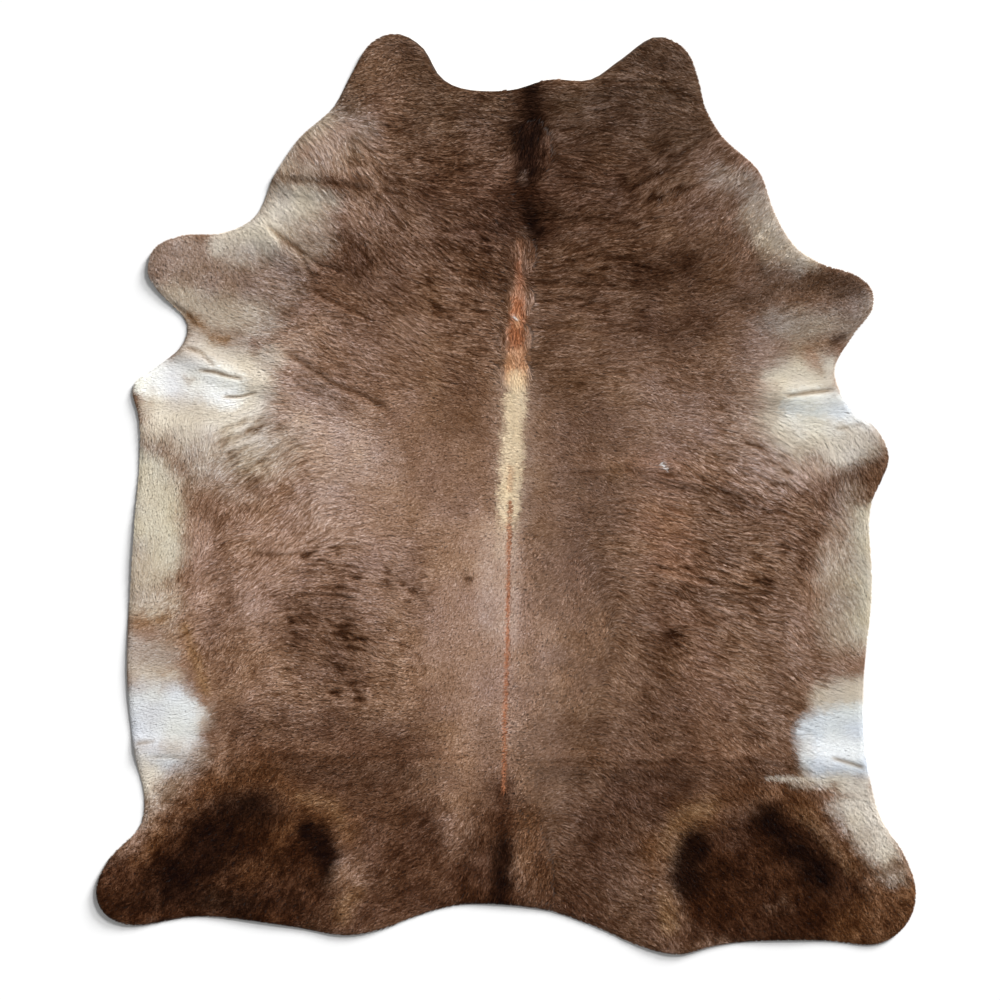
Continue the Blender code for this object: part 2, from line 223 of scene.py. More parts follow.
# Markings in the order in which they cover each other: what it is, colour, strength, half
# width and fade in millimetres, then the line along its middle.
MARKINGS = (
    # broad tones of the coat
    ("neck", "neck_brown", 0.9, 250, 300, ((-350, 1010), (350, 1010))),
    ("neck's left tip", "taupe", 0.6, 50, 120, ((-330, 1060), (-290, 960))),
    ("neck's end, right", "taupe", 0.4, 20, 60, ((100, 1010), (180, 1005))),
    ("shoulder, right of the stripe", "taupe", 0.8, 26, 60, ((60, 440), (80, 370))),
    ("neck's middle", "dark_brown", 0.8, 110, 160, ((-150, 770), (30, 740), (260, 760))),
    ("shoulders", "brown", 0.85, 140, 220, ((-480, 560), (0, 580), (600, 560))),
    ("right of the back", "brown", 0.4, 60, 120, ((210, 330), (200, 100), (230, -400))),
    ("right side's gold", "rosy", 0.5, 70, 140, ((380, 60), (400, -150))),
    ("behind the withers, left", "brown", 0.9, 60, 110, ((-90, 390), (-90, 300), (-110, 190))),
    ("neck's base", "dark_brown", 0.85, 46, 120, ((-80, 640), (30, 650), (15, 560))),
    ("neck's base, upper", "dark_brown", 0.6, 50, 110, ((-60, 710), (120, 640), (280, 620))),
    ("right shoulder, low", "dark_brown", 0.75, 50, 120, ((350, 420), (450, 420))),
    ("behind the withers, right", "brown", 0.8, 60, 110, ((90, 380), (170, 200))),
    ("shoulder patch, right", "umber", 0.75, 46, 100, ((330, 530), (390, 545), (440, 560))),
    ("shoulders, right of the stripe", "brown", 0.6, 50, 100, ((130, 560), (280, 640))),
    ("shoulder patch, left", "dark_brown", 0.6, 45, 100, ((-375, 590), (-320, 530))),
    ("left ribs", "pale_fawn", 0.9, 90, 140, ((-500, 150), (-380, 90), (-400, -30))),
    ("left ribs, low", "fawn", 0.9, 90, 140, ((-340, -60), (-330, -220))),
    ("left flank", "fawn", 0.5, 60, 120, ((-600, -80), (-590, -300))),
    ("left flank, hind", "fawn", 0.8, 46, 90, ((-520, -120), (-500, -200))),
    ("left mottles", "brown", 0.6, 80, 120, ((-470, -280), (-400, -440))),
    ("beside the spine", "fawn", 0.95, 80, 90, ((-40, -130), (-30, -560))),
    ("beside the spine, left", "fawn", 0.6, 46, 90, ((-150, -90), (-150, -400))),
    ("beside the spine, right", "fawn", 0.7, 30, 80, ((90, -330), (100, -520))),
    ("beside the spine, pale", "pale_fawn", 0.85, 26, 50, ((-45, -100), (-40, -320))),
    ("right ribs", "fawn", 0.8, 80, 120, ((370, 170), (560, 110))),
    ("right flank's dark patch", "brown", 0.9, 60, 110, ((380, -310), (400, -520))),
    ("right flank's spot", "brown", 0.8, 25, 60, ((650, -210),)),
    ("right flank's pale side", "fawn", 0.7, 24, 60, ((735, -290), (735, -400))),
    ("left flank's dark cluster", "dark_brown", 0.6, 14, 60,
     ((-400, -240), (-395, -330), (-420, -400))),
    ("left flank's outer cluster", "dark_brown", 0.45, 12, 50, ((-520, -330), (-510, -390))),
    ("left flank's inner cluster", "dark_brown", 0.4, 10, 50, ((-260, -190), (-210, -230))),
    ("left of the loin", "dark_brown", 0.35, 8, 40, ((-98, -190), (-96, -215))),
    ("right flank's cluster", "dark_brown", 0.55, 14, 60, ((385, -340), (420, -410))),
    ("right side's cluster", "dark_brown", 0.35, 14, 70, ((480, -30), (510, -130), (560, -160))),
    ("right flank's small spot", "dark_brown", 0.6, 8, 30, ((628, -212), (650, -218))),
    # rump
    ("left haunch", "dark_brown", 0.9, 95, 150,
     ((-560, -690), (-400, -700), (-260, -800), (-220, -930))),
    ("left haunch, outer", "dark_brown", 0.55, 50, 100, ((-680, -560), (-560, -560))),
    ("left haunch, corner", "dark_brown", 0.6, 34, 80, ((-650, -620), (-560, -630))),
    ("left haunch, top", "dark_brown", 0.8, 60, 110, ((-420, -590), (-330, -610), (-230, -610))),
    ("left rump", "dark_brown", 0.9, 75, 110,
     ((-400, -1040), (-250, -1000), (-130, -970), (-330, -850))),
    ("left rump, dark", "umber", 0.5, 30, 90, ((-260, -975), (-190, -990))),
    ("right haunch", "brown", 0.8, 100, 140, ((210, -640), (420, -640), (640, -640))),
    ("right rump", "dark_brown", 0.9, 95, 150,
     ((150, -980), (240, -830), (330, -760), (400, -720))),
    ("right rump, low", "dark_brown", 0.8, 70, 110, ((200, -1040), (330, -1060), (420, -1080))),
    ("tail root, wide", "dark_brown", 0.95, 74, 110, ((-15, -810), (-50, -1010))),
    ("tail root, end", "umber", 0.8, 44, 60, ((-90, -950), (-80, -1000), (0, -1000))),
    ("tail root, right", "chestnut", 0.7, 34, 90, ((60, -790), (70, -900))),
    ("tail root", "umber", 0.95, 26, 50, ((-8, -720), (-15, -1010))),
    ("tail root, core", "black_brown", 0.9, 20, 40, ((-12, -850), (-15, -1010))),
    # spine and sides, over the tones above
    ("right of the spine", "fawn", 0.22, 40, 80, ((108, 160), (108, -300), (108, -740))),
    ("right haunch, warm", "rosy", 0.16, 60, 90, ((430, -300), (500, -500), (520, -700))),
    ("right flank, outer", "fawn", 0.25, 36, 70, ((690, -284), (700, -431))),
    ("right foreleg, outer", "fawn", 0.16, 60, 90, ((560, 720), (690, 500))),
    ("left of the withers", "fawn", 0.25, 50, 80, ((-470, 430), (-340, 320))),
    ("spine, rosy part", "brown", 0.28, 18, 60, ((-39, 330), (-39, 270))),
    ("spine, loin", "brown", 0.2, 30, 70, ((-39, -270), (-39, -590))),
    ("spine, rump", "dark_brown", 0.3, 30, 60, ((-39, -700), (-39, -880))),
    ("left haunch, inner", "umber", 0.32, 60, 90, ((-320, -600), (-200, -860))),
    ("left flank, low", "brown", 0.2, 60, 90, ((-700, -160), (-700, -420))),
    # hind legs
    ("left hind leg, top", "chestnut", 0.92, 50, 80,
     ((-720, -720), (-600, -680), (-500, -760), (-450, -800))),
    ("left hind leg", "umber", 0.96, 105, 90,
     ((-1000, -980), (-830, -950), (-700, -880), (-560, -940), (-530, -980))),
    ("left hind leg, upper", "umber", 0.93, 60, 90,
     ((-830, -860), (-750, -810), (-600, -800), (-480, -850))),
    ("left hind leg, low", "umber", 0.95, 30, 50, ((-900, -1030), (-700, -1030), (-530, -1050))),
    ("left leg's blotch", "black_brown", 0.8, 46, 90,
     ((-600, -765), (-660, -775), (-720, -830), (-780, -900))),
    ("left leg's black", "black_brown", 1.0, 52, 80, ((-725, -850), (-760, -900), (-815, -935))),
    ("left leg's lower blotch", "black_brown", 0.4, 20, 60,
     ((-740, -1000), (-640, -1015), (-520, -1005))),
    ("left leg's chestnut", "chestnut", 0.65, 18, 60, ((-560, -920), (-630, -930))),
    ("left leg's knee", "chestnut", 0.6, 16, 50, ((-560, -860), (-530, -810))),
    ("left thigh's round patch", "black_brown", 1.0, 42, 46,
     ((-470, -842), (-445, -880), (-455, -915))),
    ("left thigh, low", "umber", 0.9, 20, 40, ((-520, -860), (-470, -930))),
    ("above the round patch, left", "tawny", 0.5, 12, 50,
     ((-500, -740), (-430, -760), (-380, -830))),
    ("pale edge, left", "taupe", 0.8, 10, 40, ((-362, -890), (-356, -960))),
    ("left leg's inner edge", "chestnut", 0.7, 20, 50, ((-372, -800), (-385, -850))),
    ("pale edge, left, low", "tawny", 0.5, 18, 50, ((-375, -980), (-400, -1030))),
    ("right hind leg", "umber", 0.98, 100, 60,
     ((520, -950), (620, -930), (690, -880), (770, -960), (800, -1000))),
    ("right hind leg, upper", "umber", 0.93, 50, 70, ((500, -850), (600, -820), (690, -790))),
    ("right hind leg, low", "umber", 0.97, 56, 60, ((500, -1030), (640, -1060), (760, -1050))),
    ("right hind leg, top", "chestnut", 0.85, 40, 80, ((450, -800), (600, -720), (700, -740))),
    ("right leg's tip", "chestnut", 0.95, 70, 60, ((860, -1080), (930, -1030), (970, -1000))),
    ("right thigh's round patch", "black_brown", 0.97, 42, 50,
     ((460, -864), (444, -900), (440, -940))),
    ("right leg's blotch", "black_brown", 0.97, 34, 80,
     ((640, -790), (690, -850), (745, -900), (785, -950))),
    ("right leg's gold", "tawny", 0.45, 20, 50, ((735, -770), (790, -830), (850, -900))),
    ("above the round patch, right", "tawny", 0.7, 14, 60, ((385, -860), (420, -800), (500, -760))),
    ("pale edge, right", "chestnut", 0.85, 26, 60, ((358, -920), (350, -850))),
    ("pale edge, right, low", "tawny", 0.6, 16, 50, ((385, -990), (395, -1060))),
    # flanks
    ("right leg's shoulder", "chestnut", 0.85, 22, 60,
     ((720, -745), (790, -800), (845, -880), (920, -950))),
    ("right leg's shoulder, pale", "pale_stone", 0.9, 30, 56,
     ((825, -765), (868, -820), (925, -895), (950, -920))),
    ("left rim, pale", "olive_cream", 0.86, 80, 80, ((-910, 70), (-880, -30), (-870, -130))),
    ("left rim, low", "pale_stone", 0.85, 76, 80, ((-910, -200), (-890, -380))),
    ("left rim, end of the pale", "tawny", 0.3, 22, 50, ((-920, -320), (-850, -355), (-790, -390))),
    ("left rim, inner", "fawn", 0.85, 30, 70, ((-750, -90), (-740, -330))),
    ("left flank's dark edge", "brown", 0.7, 10, 50,
     ((-720, -30), (-695, -90), (-690, -200), (-720, -410))),
    ("left rim, below the pale", "taupe", 0.6, 26, 50, ((-905, -322), (-830, -345))),
    ("left rim, gold", "stone", 0.75, 22, 50, ((-905, -385), (-820, -395))),
    ("left rim's tuft", "tawny", 0.85, 9, 30, ((-895, -318), (-850, -310), (-822, -296))),
    ("left white patch", "blue_white", 0.82, 84, 70, ((-900, -550), (-830, -550), (-840, -600))),
    ("left patch's fringe", "cream", 0.3, 12, 40, ((-905, -440), (-800, -445))),
    # painted shadow of the fold across the white patch
    ("left patch's fold", "stone", 0.45, 14, 50, ((-905, -620), (-800, -625))),
    ("left white patch's point", "blue_white", 0.6, 18, 40, ((-790, -545), (-752, -532))),
    ("left patch's golden edge", "tawny", 0.85, 10, 32, ((-785, -325), (-755, -410), (-735, -480))),
    ("left patch to the leg", "cream", 0.9, 36, 60, ((-885, -680), (-890, -710))),
    ("left patch to the haunch", "stone", 0.8, 18, 60, ((-885, -785), (-815, -705), (-745, -640))),
    ("left leg's shoulder", "chestnut", 0.7, 16, 50,
     ((-900, -890), (-830, -810), (-750, -740), (-690, -660))),
    ("right rim, pale", "olive_cream", 0.75, 50, 80, ((895, -40), (885, -120), (885, -330))),
    ("right rim, by the elbow", "pale_fawn", 0.6, 20, 60, ((800, -70), (795, -150))),
    ("right rim, inner", "pale_stone", 0.6, 40, 80, ((810, -160), (810, -340))),
    ("right elbow's tip", "brown", 0.97, 56, 36, ((940, 60), (870, 30))),
    ("right elbow's streak", "brown", 0.85, 20, 50,
     ((925, 60), (840, 30), (770, -40), (735, -120), (715, -200))),
    ("right patch's brown edge", "fawn", 0.4, 20, 50,
     ((870, -390), (790, -420), (720, -470), (680, -540), (672, -600))),
    ("right patch's halo", "cream", 0.8, 56, 60, ((800, -520), (880, -500))),
    ("right white patch", "blue_white", 0.98, 62, 44,
     ((770, -590), (880, -570), (780, -640), (890, -640))),
    ("right patch's bright middle", "white", 0.7, 36, 50, ((790, -620), (850, -625))),
    ("right thigh's bright line", "cream", 0.75, 5, 14, ((640, -694), (760, -700), (900, -706))),
    ("fold under the bright line", "pale_stone", 0.7, 6, 22,
     ((700, -712), (800, -716), (900, -722))),
    ("below the right white patch", "cream", 0.85, 12, 36, ((790, -694), (900, -702))),
    ("right patch to the leg", "cream", 0.97, 40, 50, ((855, -740), (900, -800))),
    ("below the fold", "taupe", 0.7, 7, 24, ((765, -732), (820, -738), (885, -742))),
    ("right leg's rim", "cream", 0.95, 32, 52, ((872, -760), (900, -815), (930, -872))),
    # chest and armpits
    ("left chest, low", "pale_stone", 0.85, 66, 120, ((-740, 100), (-650, 90), (-580, 140))),
    ("left chest's edge", "pale_fawn", 0.8, 40, 110, ((-530, 370), (-520, 300), (-540, 200))),
    ("left chest", "cream", 0.95, 66, 80, ((-820, 200), (-650, 195), (-640, 290), (-740, 330))),
    ("left armpit", "white", 0.9, 46, 50, ((-880, 290), (-760, 285), (-690, 262))),
    ("left elbow", "stone", 0.75, 14, 36, ((-900, 130), (-820, 108))),
    ("left elbow's wedge", "brown", 0.5, 12, 50,
     ((-900, 120), (-820, 100), (-765, 40), (-740, -40))),
    ("left foreleg", "stone", 0.8, 80, 100, ((-860, 560), (-700, 520), (-580, 520))),
    ("left foreleg, warm", "fawn", 0.4, 60, 90, ((-820, 560), (-680, 550), (-560, 530))),
    ("left foreleg, low", "pale_stone", 0.9, 30, 60, ((-860, 475), (-720, 450), (-640, 450))),
    ("left foreleg, fold", "brown", 0.35, 14, 50, ((-870, 540), (-740, 520), (-640, 540))),
    ("left foreleg, top", "cream", 0.85, 28, 44, ((-700, 612), (-640, 640), (-600, 648))),
    ("left foreleg, under", "pale_stone", 0.85, 40, 60, ((-760, 440), (-680, 420), (-600, 420))),
    ("left foreleg's cream", "stone", 0.25, 35, 50, ((-780, 370), (-640, 345), (-600, 325))),
    # painted shadow of a small fold in the armpit
    ("left armpit's shade", "stone", 0.6, 4, 12, ((-784, 287), (-775, 272), (-760, 284))),
    ("left ribs, dark patch", "brown", 0.45, 14, 40, ((-560, 300), (-500, 285), (-450, 262))),
    ("left foreleg's spots", "tawny", 0.9, 10, 26, ((-775, 438), (-738, 408))),
    ("left foreleg's round spot", "tawny", 0.9, 13, 30, ((-712, 384), (-682, 376))),
    ("right chest, edge", "pale_fawn", 0.85, 50, 120,
     ((640, 350), (620, 300), (610, 150), (640, 60))),
    ("right chest, low", "pale_fawn", 0.85, 30, 80, ((680, 60), (760, 60))),
    ("right chest", "cream", 0.95, 82, 90, ((725, 270), (710, 190), (830, 145))),
    ("right armpit", "white", 0.9, 32, 44, ((715, 225), (800, 214), (890, 200))),
    ("right armpit, low", "white", 0.45, 24, 44, ((700, 185), (760, 160), (800, 165))),
    ("right armpit, grey", "blue_white", 0.7, 14, 34, ((685, 212), (745, 200), (830, 205))),
    ("right elbow's brown", "brown", 0.85, 24, 46, ((935, 82), (870, 52), (800, 12))),
    ("nick", "white", 0.9, 4, 8, ((382, 72), (392, 60))),
    # painted shade beside the nick
    ("nick's shade", "dark_brown", 0.7, 3, 8, ((402, 66), (398, 52))),
    ("right foreleg", "neck_brown", 0.8, 40, 60, ((650, 545), (740, 530), (860, 510))),
    ("right foreleg, low", "neck_brown", 0.6, 16, 50, ((540, 480), (640, 480))),
    ("right foreleg, pale", "stone", 0.95, 38, 60, ((660, 425), (825, 412))),
    ("right foreleg's edge", "stone", 0.7, 22, 50, ((890, 460), (850, 410))),
    ("right foreleg, under", "pale_stone", 0.6, 22, 60, ((690, 400), (740, 400))),
    ("right foreleg, by the rim", "cream", 0.8, 14, 34, ((640, 290), (740, 285), (790, 318))),
    ("right foreleg's gold", "tawny", 0.5, 16, 50, ((720, 350), (790, 375))),
    ("right foreleg, by the spot", "pale_stone", 0.6, 20, 40, ((790, 415), (815, 408))),
    ("right foreleg's tawny streak", "tawny", 0.65, 9, 36, ((755, 335), (768, 300))),
    ("right foreleg's rosy patch", "rosy", 0.5, 16, 40, ((740, 340), (752, 322))),
    ("right foreleg's rim", "cream", 0.6, 8, 22, ((793, 325), (785, 275))),
    ("right foreleg's spot", "umber", 0.85, 8, 22, ((800, 374), (824, 388))),
    # neck's sides
    ("left of the neck", "pale_stone", 0.6, 60, 120, ((-480, 910), (-400, 880))),
    ("neck's tip, left of it", "taupe", 0.6, 40, 120, ((-300, 930), (-280, 840))),
    ("left of the neck, low", "pale_fawn", 0.9, 54, 110, ((-500, 840), (-390, 860))),
    ("left of the neck, rim", "pale_stone", 0.7, 16, 50, ((-560, 810), (-500, 870), (-440, 920))),
    ("left of the neck, inner", "fawn", 0.95, 40, 100, ((-350, 860), (-340, 700))),
    ("left shoulder", "fawn", 0.7, 40, 110, ((-460, 700), (-400, 690))),
    ("left shoulder, low", "brown", 0.2, 24, 80, ((-490, 590), (-450, 520))),
    ("left shoulder's pale fold", "pale_fawn", 0.8, 20, 60,
     ((-560, 625), (-500, 650), (-440, 650))),
    ("left shoulder's rim", "cream", 0.95, 44, 60, ((-600, 650), (-540, 700), (-495, 715))),
    ("left shoulder, by the rim", "pale_stone", 0.7, 30, 70,
     ((-660, 590), (-580, 600), (-530, 640))),
    ("left neck's pale band", "cream", 0.7, 20, 50, ((-560, 735), (-490, 722), (-430, 715))),
    # painted shadow of the fold on the left of the neck
    ("left neck's fold", "brown", 0.4, 4, 26, ((-570, 775), (-480, 770), (-345, 748))),
    ("right of the neck", "stone", 0.85, 34, 70, ((520, 775), (600, 750), (610, 690))),
    ("right neck's hollow", "dark_brown", 0.5, 20, 70, ((450, 690), (520, 740), (580, 720))),
    ("right shoulder's rim", "pale_stone", 0.95, 40, 60, ((620, 690), (665, 600), (730, 590))),
    # back stripe
    ("neck stripe", "umber", 0.75, 44, 52, ((58, 1010), (56, 850), (48, 720), (66, 645))),
    ("neck stripe, core", "black_brown", 0.85, 22, 34,
     ((62, 1010), (55, 850), (50, 720), (64, 645))),
    ("neck stripe, heart", "black_brown", 0.75, 32, 38, ((50, 890), (56, 800))),
    ("neck stripe, wisps", "umber", 0.45, 24, 46, ((-15, 735), (115, 735))),
    ("neck stripe, end", "black_brown", 0.9, 11, 24, ((60, 662), (82, 638))),
    ("neck stripe, left tuft", "black_brown", 0.55, 10, 40, ((-20, 655), (5, 665))),
    ("neck stripe, right tuft", "umber", 0.7, 12, 40, ((105, 625), (118, 640))),
    ("neck stripe, pale tuft", "fawn", 0.35, 5, 18, ((44, 785), (40, 762))),
    ("stripe's halo", "pale_fawn", 0.5, 46, 60, ((20, 270), (22, 100), (12, -60))),
    ("stripe's root", "taupe", 0.5, 18, 30, ((40, 632), (37, 590))),
    ("stripe's fringe, right", "fawn", 0.7, 12, 34, ((66, 470), (66, 370))),
    ("stripe, top", "rosy", 0.6, 8, 18, ((34, 620), (31, 530))),
    ("stripe, rosy", "rosy", 0.95, 16, 14, ((31, 520), (31, 470), (28, 430))),
    ("stripe, rosy, wide", "rosy", 0.95, 23, 16, ((28, 440), (25, 380), (23, 320))),
    ("stripe, upper rust", "rust", 0.5, 6, 16, ((30, 570), (31, 500))),
    ("stripe, rust", "rust", 0.85, 15, 20, ((29, 470), (27, 430), (25, 365))),
    ("stripe, tan fleck", "tan", 0.8, 7, 12, ((28, 436), (28, 418))),
    ("stripe's fleck", "white", 0.7, 4, 6, ((18, 437), (22, 431))),
    ("stripe, tan", "tan", 0.92, 25, 22, ((25, 335), (22, 290))),
    ("stripe, rosy end", "rosy", 0.45, 20, 24, ((25, 352), (23, 325))),
    ("stripe, cream top", "gold_cream", 0.75, 20, 30, ((24, 280), (22, 240))),
    ("stripe, cream", "gold_cream", 0.95, 25, 28, ((22, 230), (14, 130), (10, 40), (7, -40))),
    ("stripe, cream, low", "gold_cream", 0.7, 16, 40, ((7, -50), (0, -140))),
    ("stripe, tan heart", "tan", 0.6, 5, 14, ((10, 65), (9, 10))),
    ("stripe's pale edges", "pale_fawn", 0.8, 26, 36, ((6, -110), (2, -360))),
    ("stripe's pale edges, low", "fawn", 0.7, 26, 40, ((0, -380), (-4, -560))),
    ("stripe's thread", "rust", 0.85, 3.5, 7, ((9, -20), (6, -300), (0, -500), (-5, -730))),
    # small tones over all the others
    ("left of the neck, far", "pale_stone", 0.5, 56, 70, ((-620, 730), (-500, 750), (-480, 620))),
    # painted shadow of the fold on the left of the neck
    ("left of the neck, shade", "dark_brown", 0.6, 9, 26, ((-520, 772), (-440, 768), (-341, 750))),
    ("neck, left of the stripe", "dark_brown", 0.4, 40, 60, ((-186, 770), (-186, 720))),
    ("neck's base, left, pale", "fawn", 0.35, 26, 60, ((-310, 730), (-290, 690))),
    ("left ribs' pale top", "pale_fawn", 0.35, 26, 50, ((-455, 275), (-430, 255))),
    ("right shoulder, pale", "fawn", 0.22, 40, 70, ((475, 790), (590, 690))),
    ("right shoulder's rim, fawn", "fawn", 0.35, 24, 50, ((650, 575), (670, 545))),
    ("right ribs, top", "fawn", 0.2, 40, 70, ((260, 10), (470, 10))),
    ("right flank, low edge", "pale_fawn", 0.4, 22, 50, ((806, -385), (806, -410))),
    ("left foreleg's grey", "pale_stone", 0.35, 30, 50, ((-811, 488),)),
    ("left of the neck, light", "cream", 0.7, 22, 44, ((-560, 700), (-480, 708))),
    ("left of the neck, over the fold", "pale_stone", 0.5, 16, 40, ((-545, 805), (-490, 795))),
    ("left shoulder's light", "cream", 0.35, 26, 40, ((-600, 640), (-585, 625))),
    ("neck's side, left, light", "pale_fawn", 0.25, 24, 50, ((-370, 790), (-360, 770))),
    ("left shoulder, inner", "taupe", 0.45, 26, 50, ((-297, 495), (-290, 480))),
    ("left elbow, inner", "fawn", 0.2, 30, 50, ((-480, 455), (-470, 445))),
    ("stripe's left side", "fawn", 0.7, 22, 44, ((-76, -60), (-76, -130))),
    ("left flank, darker", "brown", 0.3, 30, 50, ((-591, -320), (-591, -330))),
    ("neck's left side, light", "fawn", 0.35, 26, 50, ((-225, 790), (-225, 775))),
    ("left elbow, light", "taupe", 0.4, 26, 50, ((-370, 490), (-360, 480))),
    ("left side, taupe", "taupe", 0.35, 26, 50, ((-591, -95), (-591, -110))),
    ("left flank, pale", "fawn", 0.25, 30, 50, ((-627, -275), (-627, -290))),
    ("left haunch, upper edge", "dark_brown", 0.22, 50, 70, ((-690, -600), (-480, -590))),
    ("left haunch, by the leg", "umber", 0.35, 24, 50, ((-664, -685), (-655, -695))),
    ("spine, left of it", "brown", 0.3, 24, 44, ((-55, -560), (-55, -610))),
    ("spine, right of it", "fawn", 0.22, 26, 50, ((108, -410), (108, -450))),
    ("right flank, lighter", "fawn", 0.2, 50, 70, ((560, -330), (690, -360))),
    ("right of the tail root", "dark_brown", 0.5, 18, 44, ((71, -890), (71, -930))),
    ("right foreleg, lighter", "pale_fawn", 0.3, 22, 44, ((806, 420), (815, 408))),
    ("right leg's gold rim", "gold_cream", 0.25, 18, 44, ((733, -690),)),
    ("right white patch, low", "cream", 0.4, 16, 40, ((733, -610), (745, -630))),
    ("right rump, end", "umber", 0.3, 30, 50, ((280, -975), (310, -990))),
    ("beside the tail root", "umber", 0.35, 24, 50, ((-76, -825), (-76, -850))),
    ("neck's edge, left, light", "pale_stone", 0.3, 24, 50, ((-370, 855), (-333, 892))),
    ("left elbow's cream", "cream", 0.4, 20, 40, ((-591, 341), (-560, 335))),
    ("right elbow's stone", "stone", 0.3, 36, 50, ((843, 451), (830, 440))),
    ("right flank's stone", "pale_stone", 0.3, 30, 60, ((843, 10), (815, -100))),
    ("neck's right side", "taupe", 0.28, 26, 60, ((145, 870), (150, 830))),
    ("left leg's black end", "black_brown", 0.5, 24, 50,
     ((-930, -1010), (-738, -985), (-640, -1010))),
    ("left rim, brown", "taupe", 0.5, 26, 44, ((-895, -315), (-870, -330))),
    ("right leg's brown", "taupe", 0.65, 18, 40, ((953, -909),)),
    ("right leg's rim, pale", "pale_stone", 0.5, 22, 40, ((880, -830), (890, -850))),
    ("right elbow's pale rim", "pale_stone", 0.35, 22, 40, ((880, 125), (885, 115))),
    ("left white patch, blue", "blue_white", 0.6, 40, 50, ((-811, -530), (-811, -560))),
    ("left white patch, shade", "stone", 0.15, 44, 50, ((-840, -540), (-811, -560))),
    ("left white patch, low", "stone", 0.3, 20, 40, ((-830, -615), (-790, -620))),
    ("left rim, olive", "olive_cream", 0.5, 40, 44, ((-885, 0), (-885, -60))),
    ("left rim, olive shade", "stone", 0.25, 50, 60, ((-885, 0), (-885, -110))),
    ("left armpit's shade, broad", "stone", 0.2, 44, 50, ((-780, 310), (-780, 120))),
    ("left elbow, darker", "taupe", 0.25, 30, 50, ((-665, 488), (-655, 480))),
    ("left foreleg, pale", "pale_stone", 0.12, 44, 56, ((-774, 598), (-774, 470))),
    ("left shoulder's cream", "cream", 0.35, 30, 48, ((-627, 610), (-590, 625))),
    ("neck's rim, left", "pale_stone", 0.35, 24, 50, ((-480, 770), (-465, 690))),
    ("left rim, low, pale", "pale_stone", 0.35, 24, 44, ((-811, -235), (-811, -265))),
    ("left white patch, inner rim", "cream", 0.3, 18, 40, ((-738, -530), (-738, -560))),
    ("left white patch's brown side", "dark_brown", 0.22, 34, 60, ((-640, -560), (-620, -600))),
    ("right white patch's brown side", "fawn", 0.35, 20, 44, ((659, -530), (659, -550))),
    ("right foreleg's edge, pale", "pale_fawn", 0.3, 18, 40, ((850, 460), (838, 440))),
    ("right ribs, pale", "fawn", 0.22, 44, 60, ((350, 20), (440, 10))),
    ("right of the loin", "fawn", 0.28, 26, 50, ((108, -400), (108, -470))),
    ("left flank, paler", "pale_fawn", 0.2, 30, 50, ((-627, -275), (-627, -290))),
    ("stripe's left edge", "brown", 0.35, 24, 44, ((-70, 340), (-70, 250))),
    ("loin, over the tail", "dark_brown", 0.22, 26, 50, ((-39, -580), (-39, -720))),
    ("left of the tail root", "dark_brown", 0.3, 30, 56, ((-186, -700), (-186, -750))),
    ("rump's edge, right", "dark_brown", 0.45, 26, 50, ((108, -1000), (108, -1020))),
    ("left leg, deeper", "black_brown", 0.2, 56, 60, ((-850, -990), (-700, -900))),
    ("tail root's black", "black_brown", 0.85, 22, 50, ((-2, -870), (-2, -940))),
)
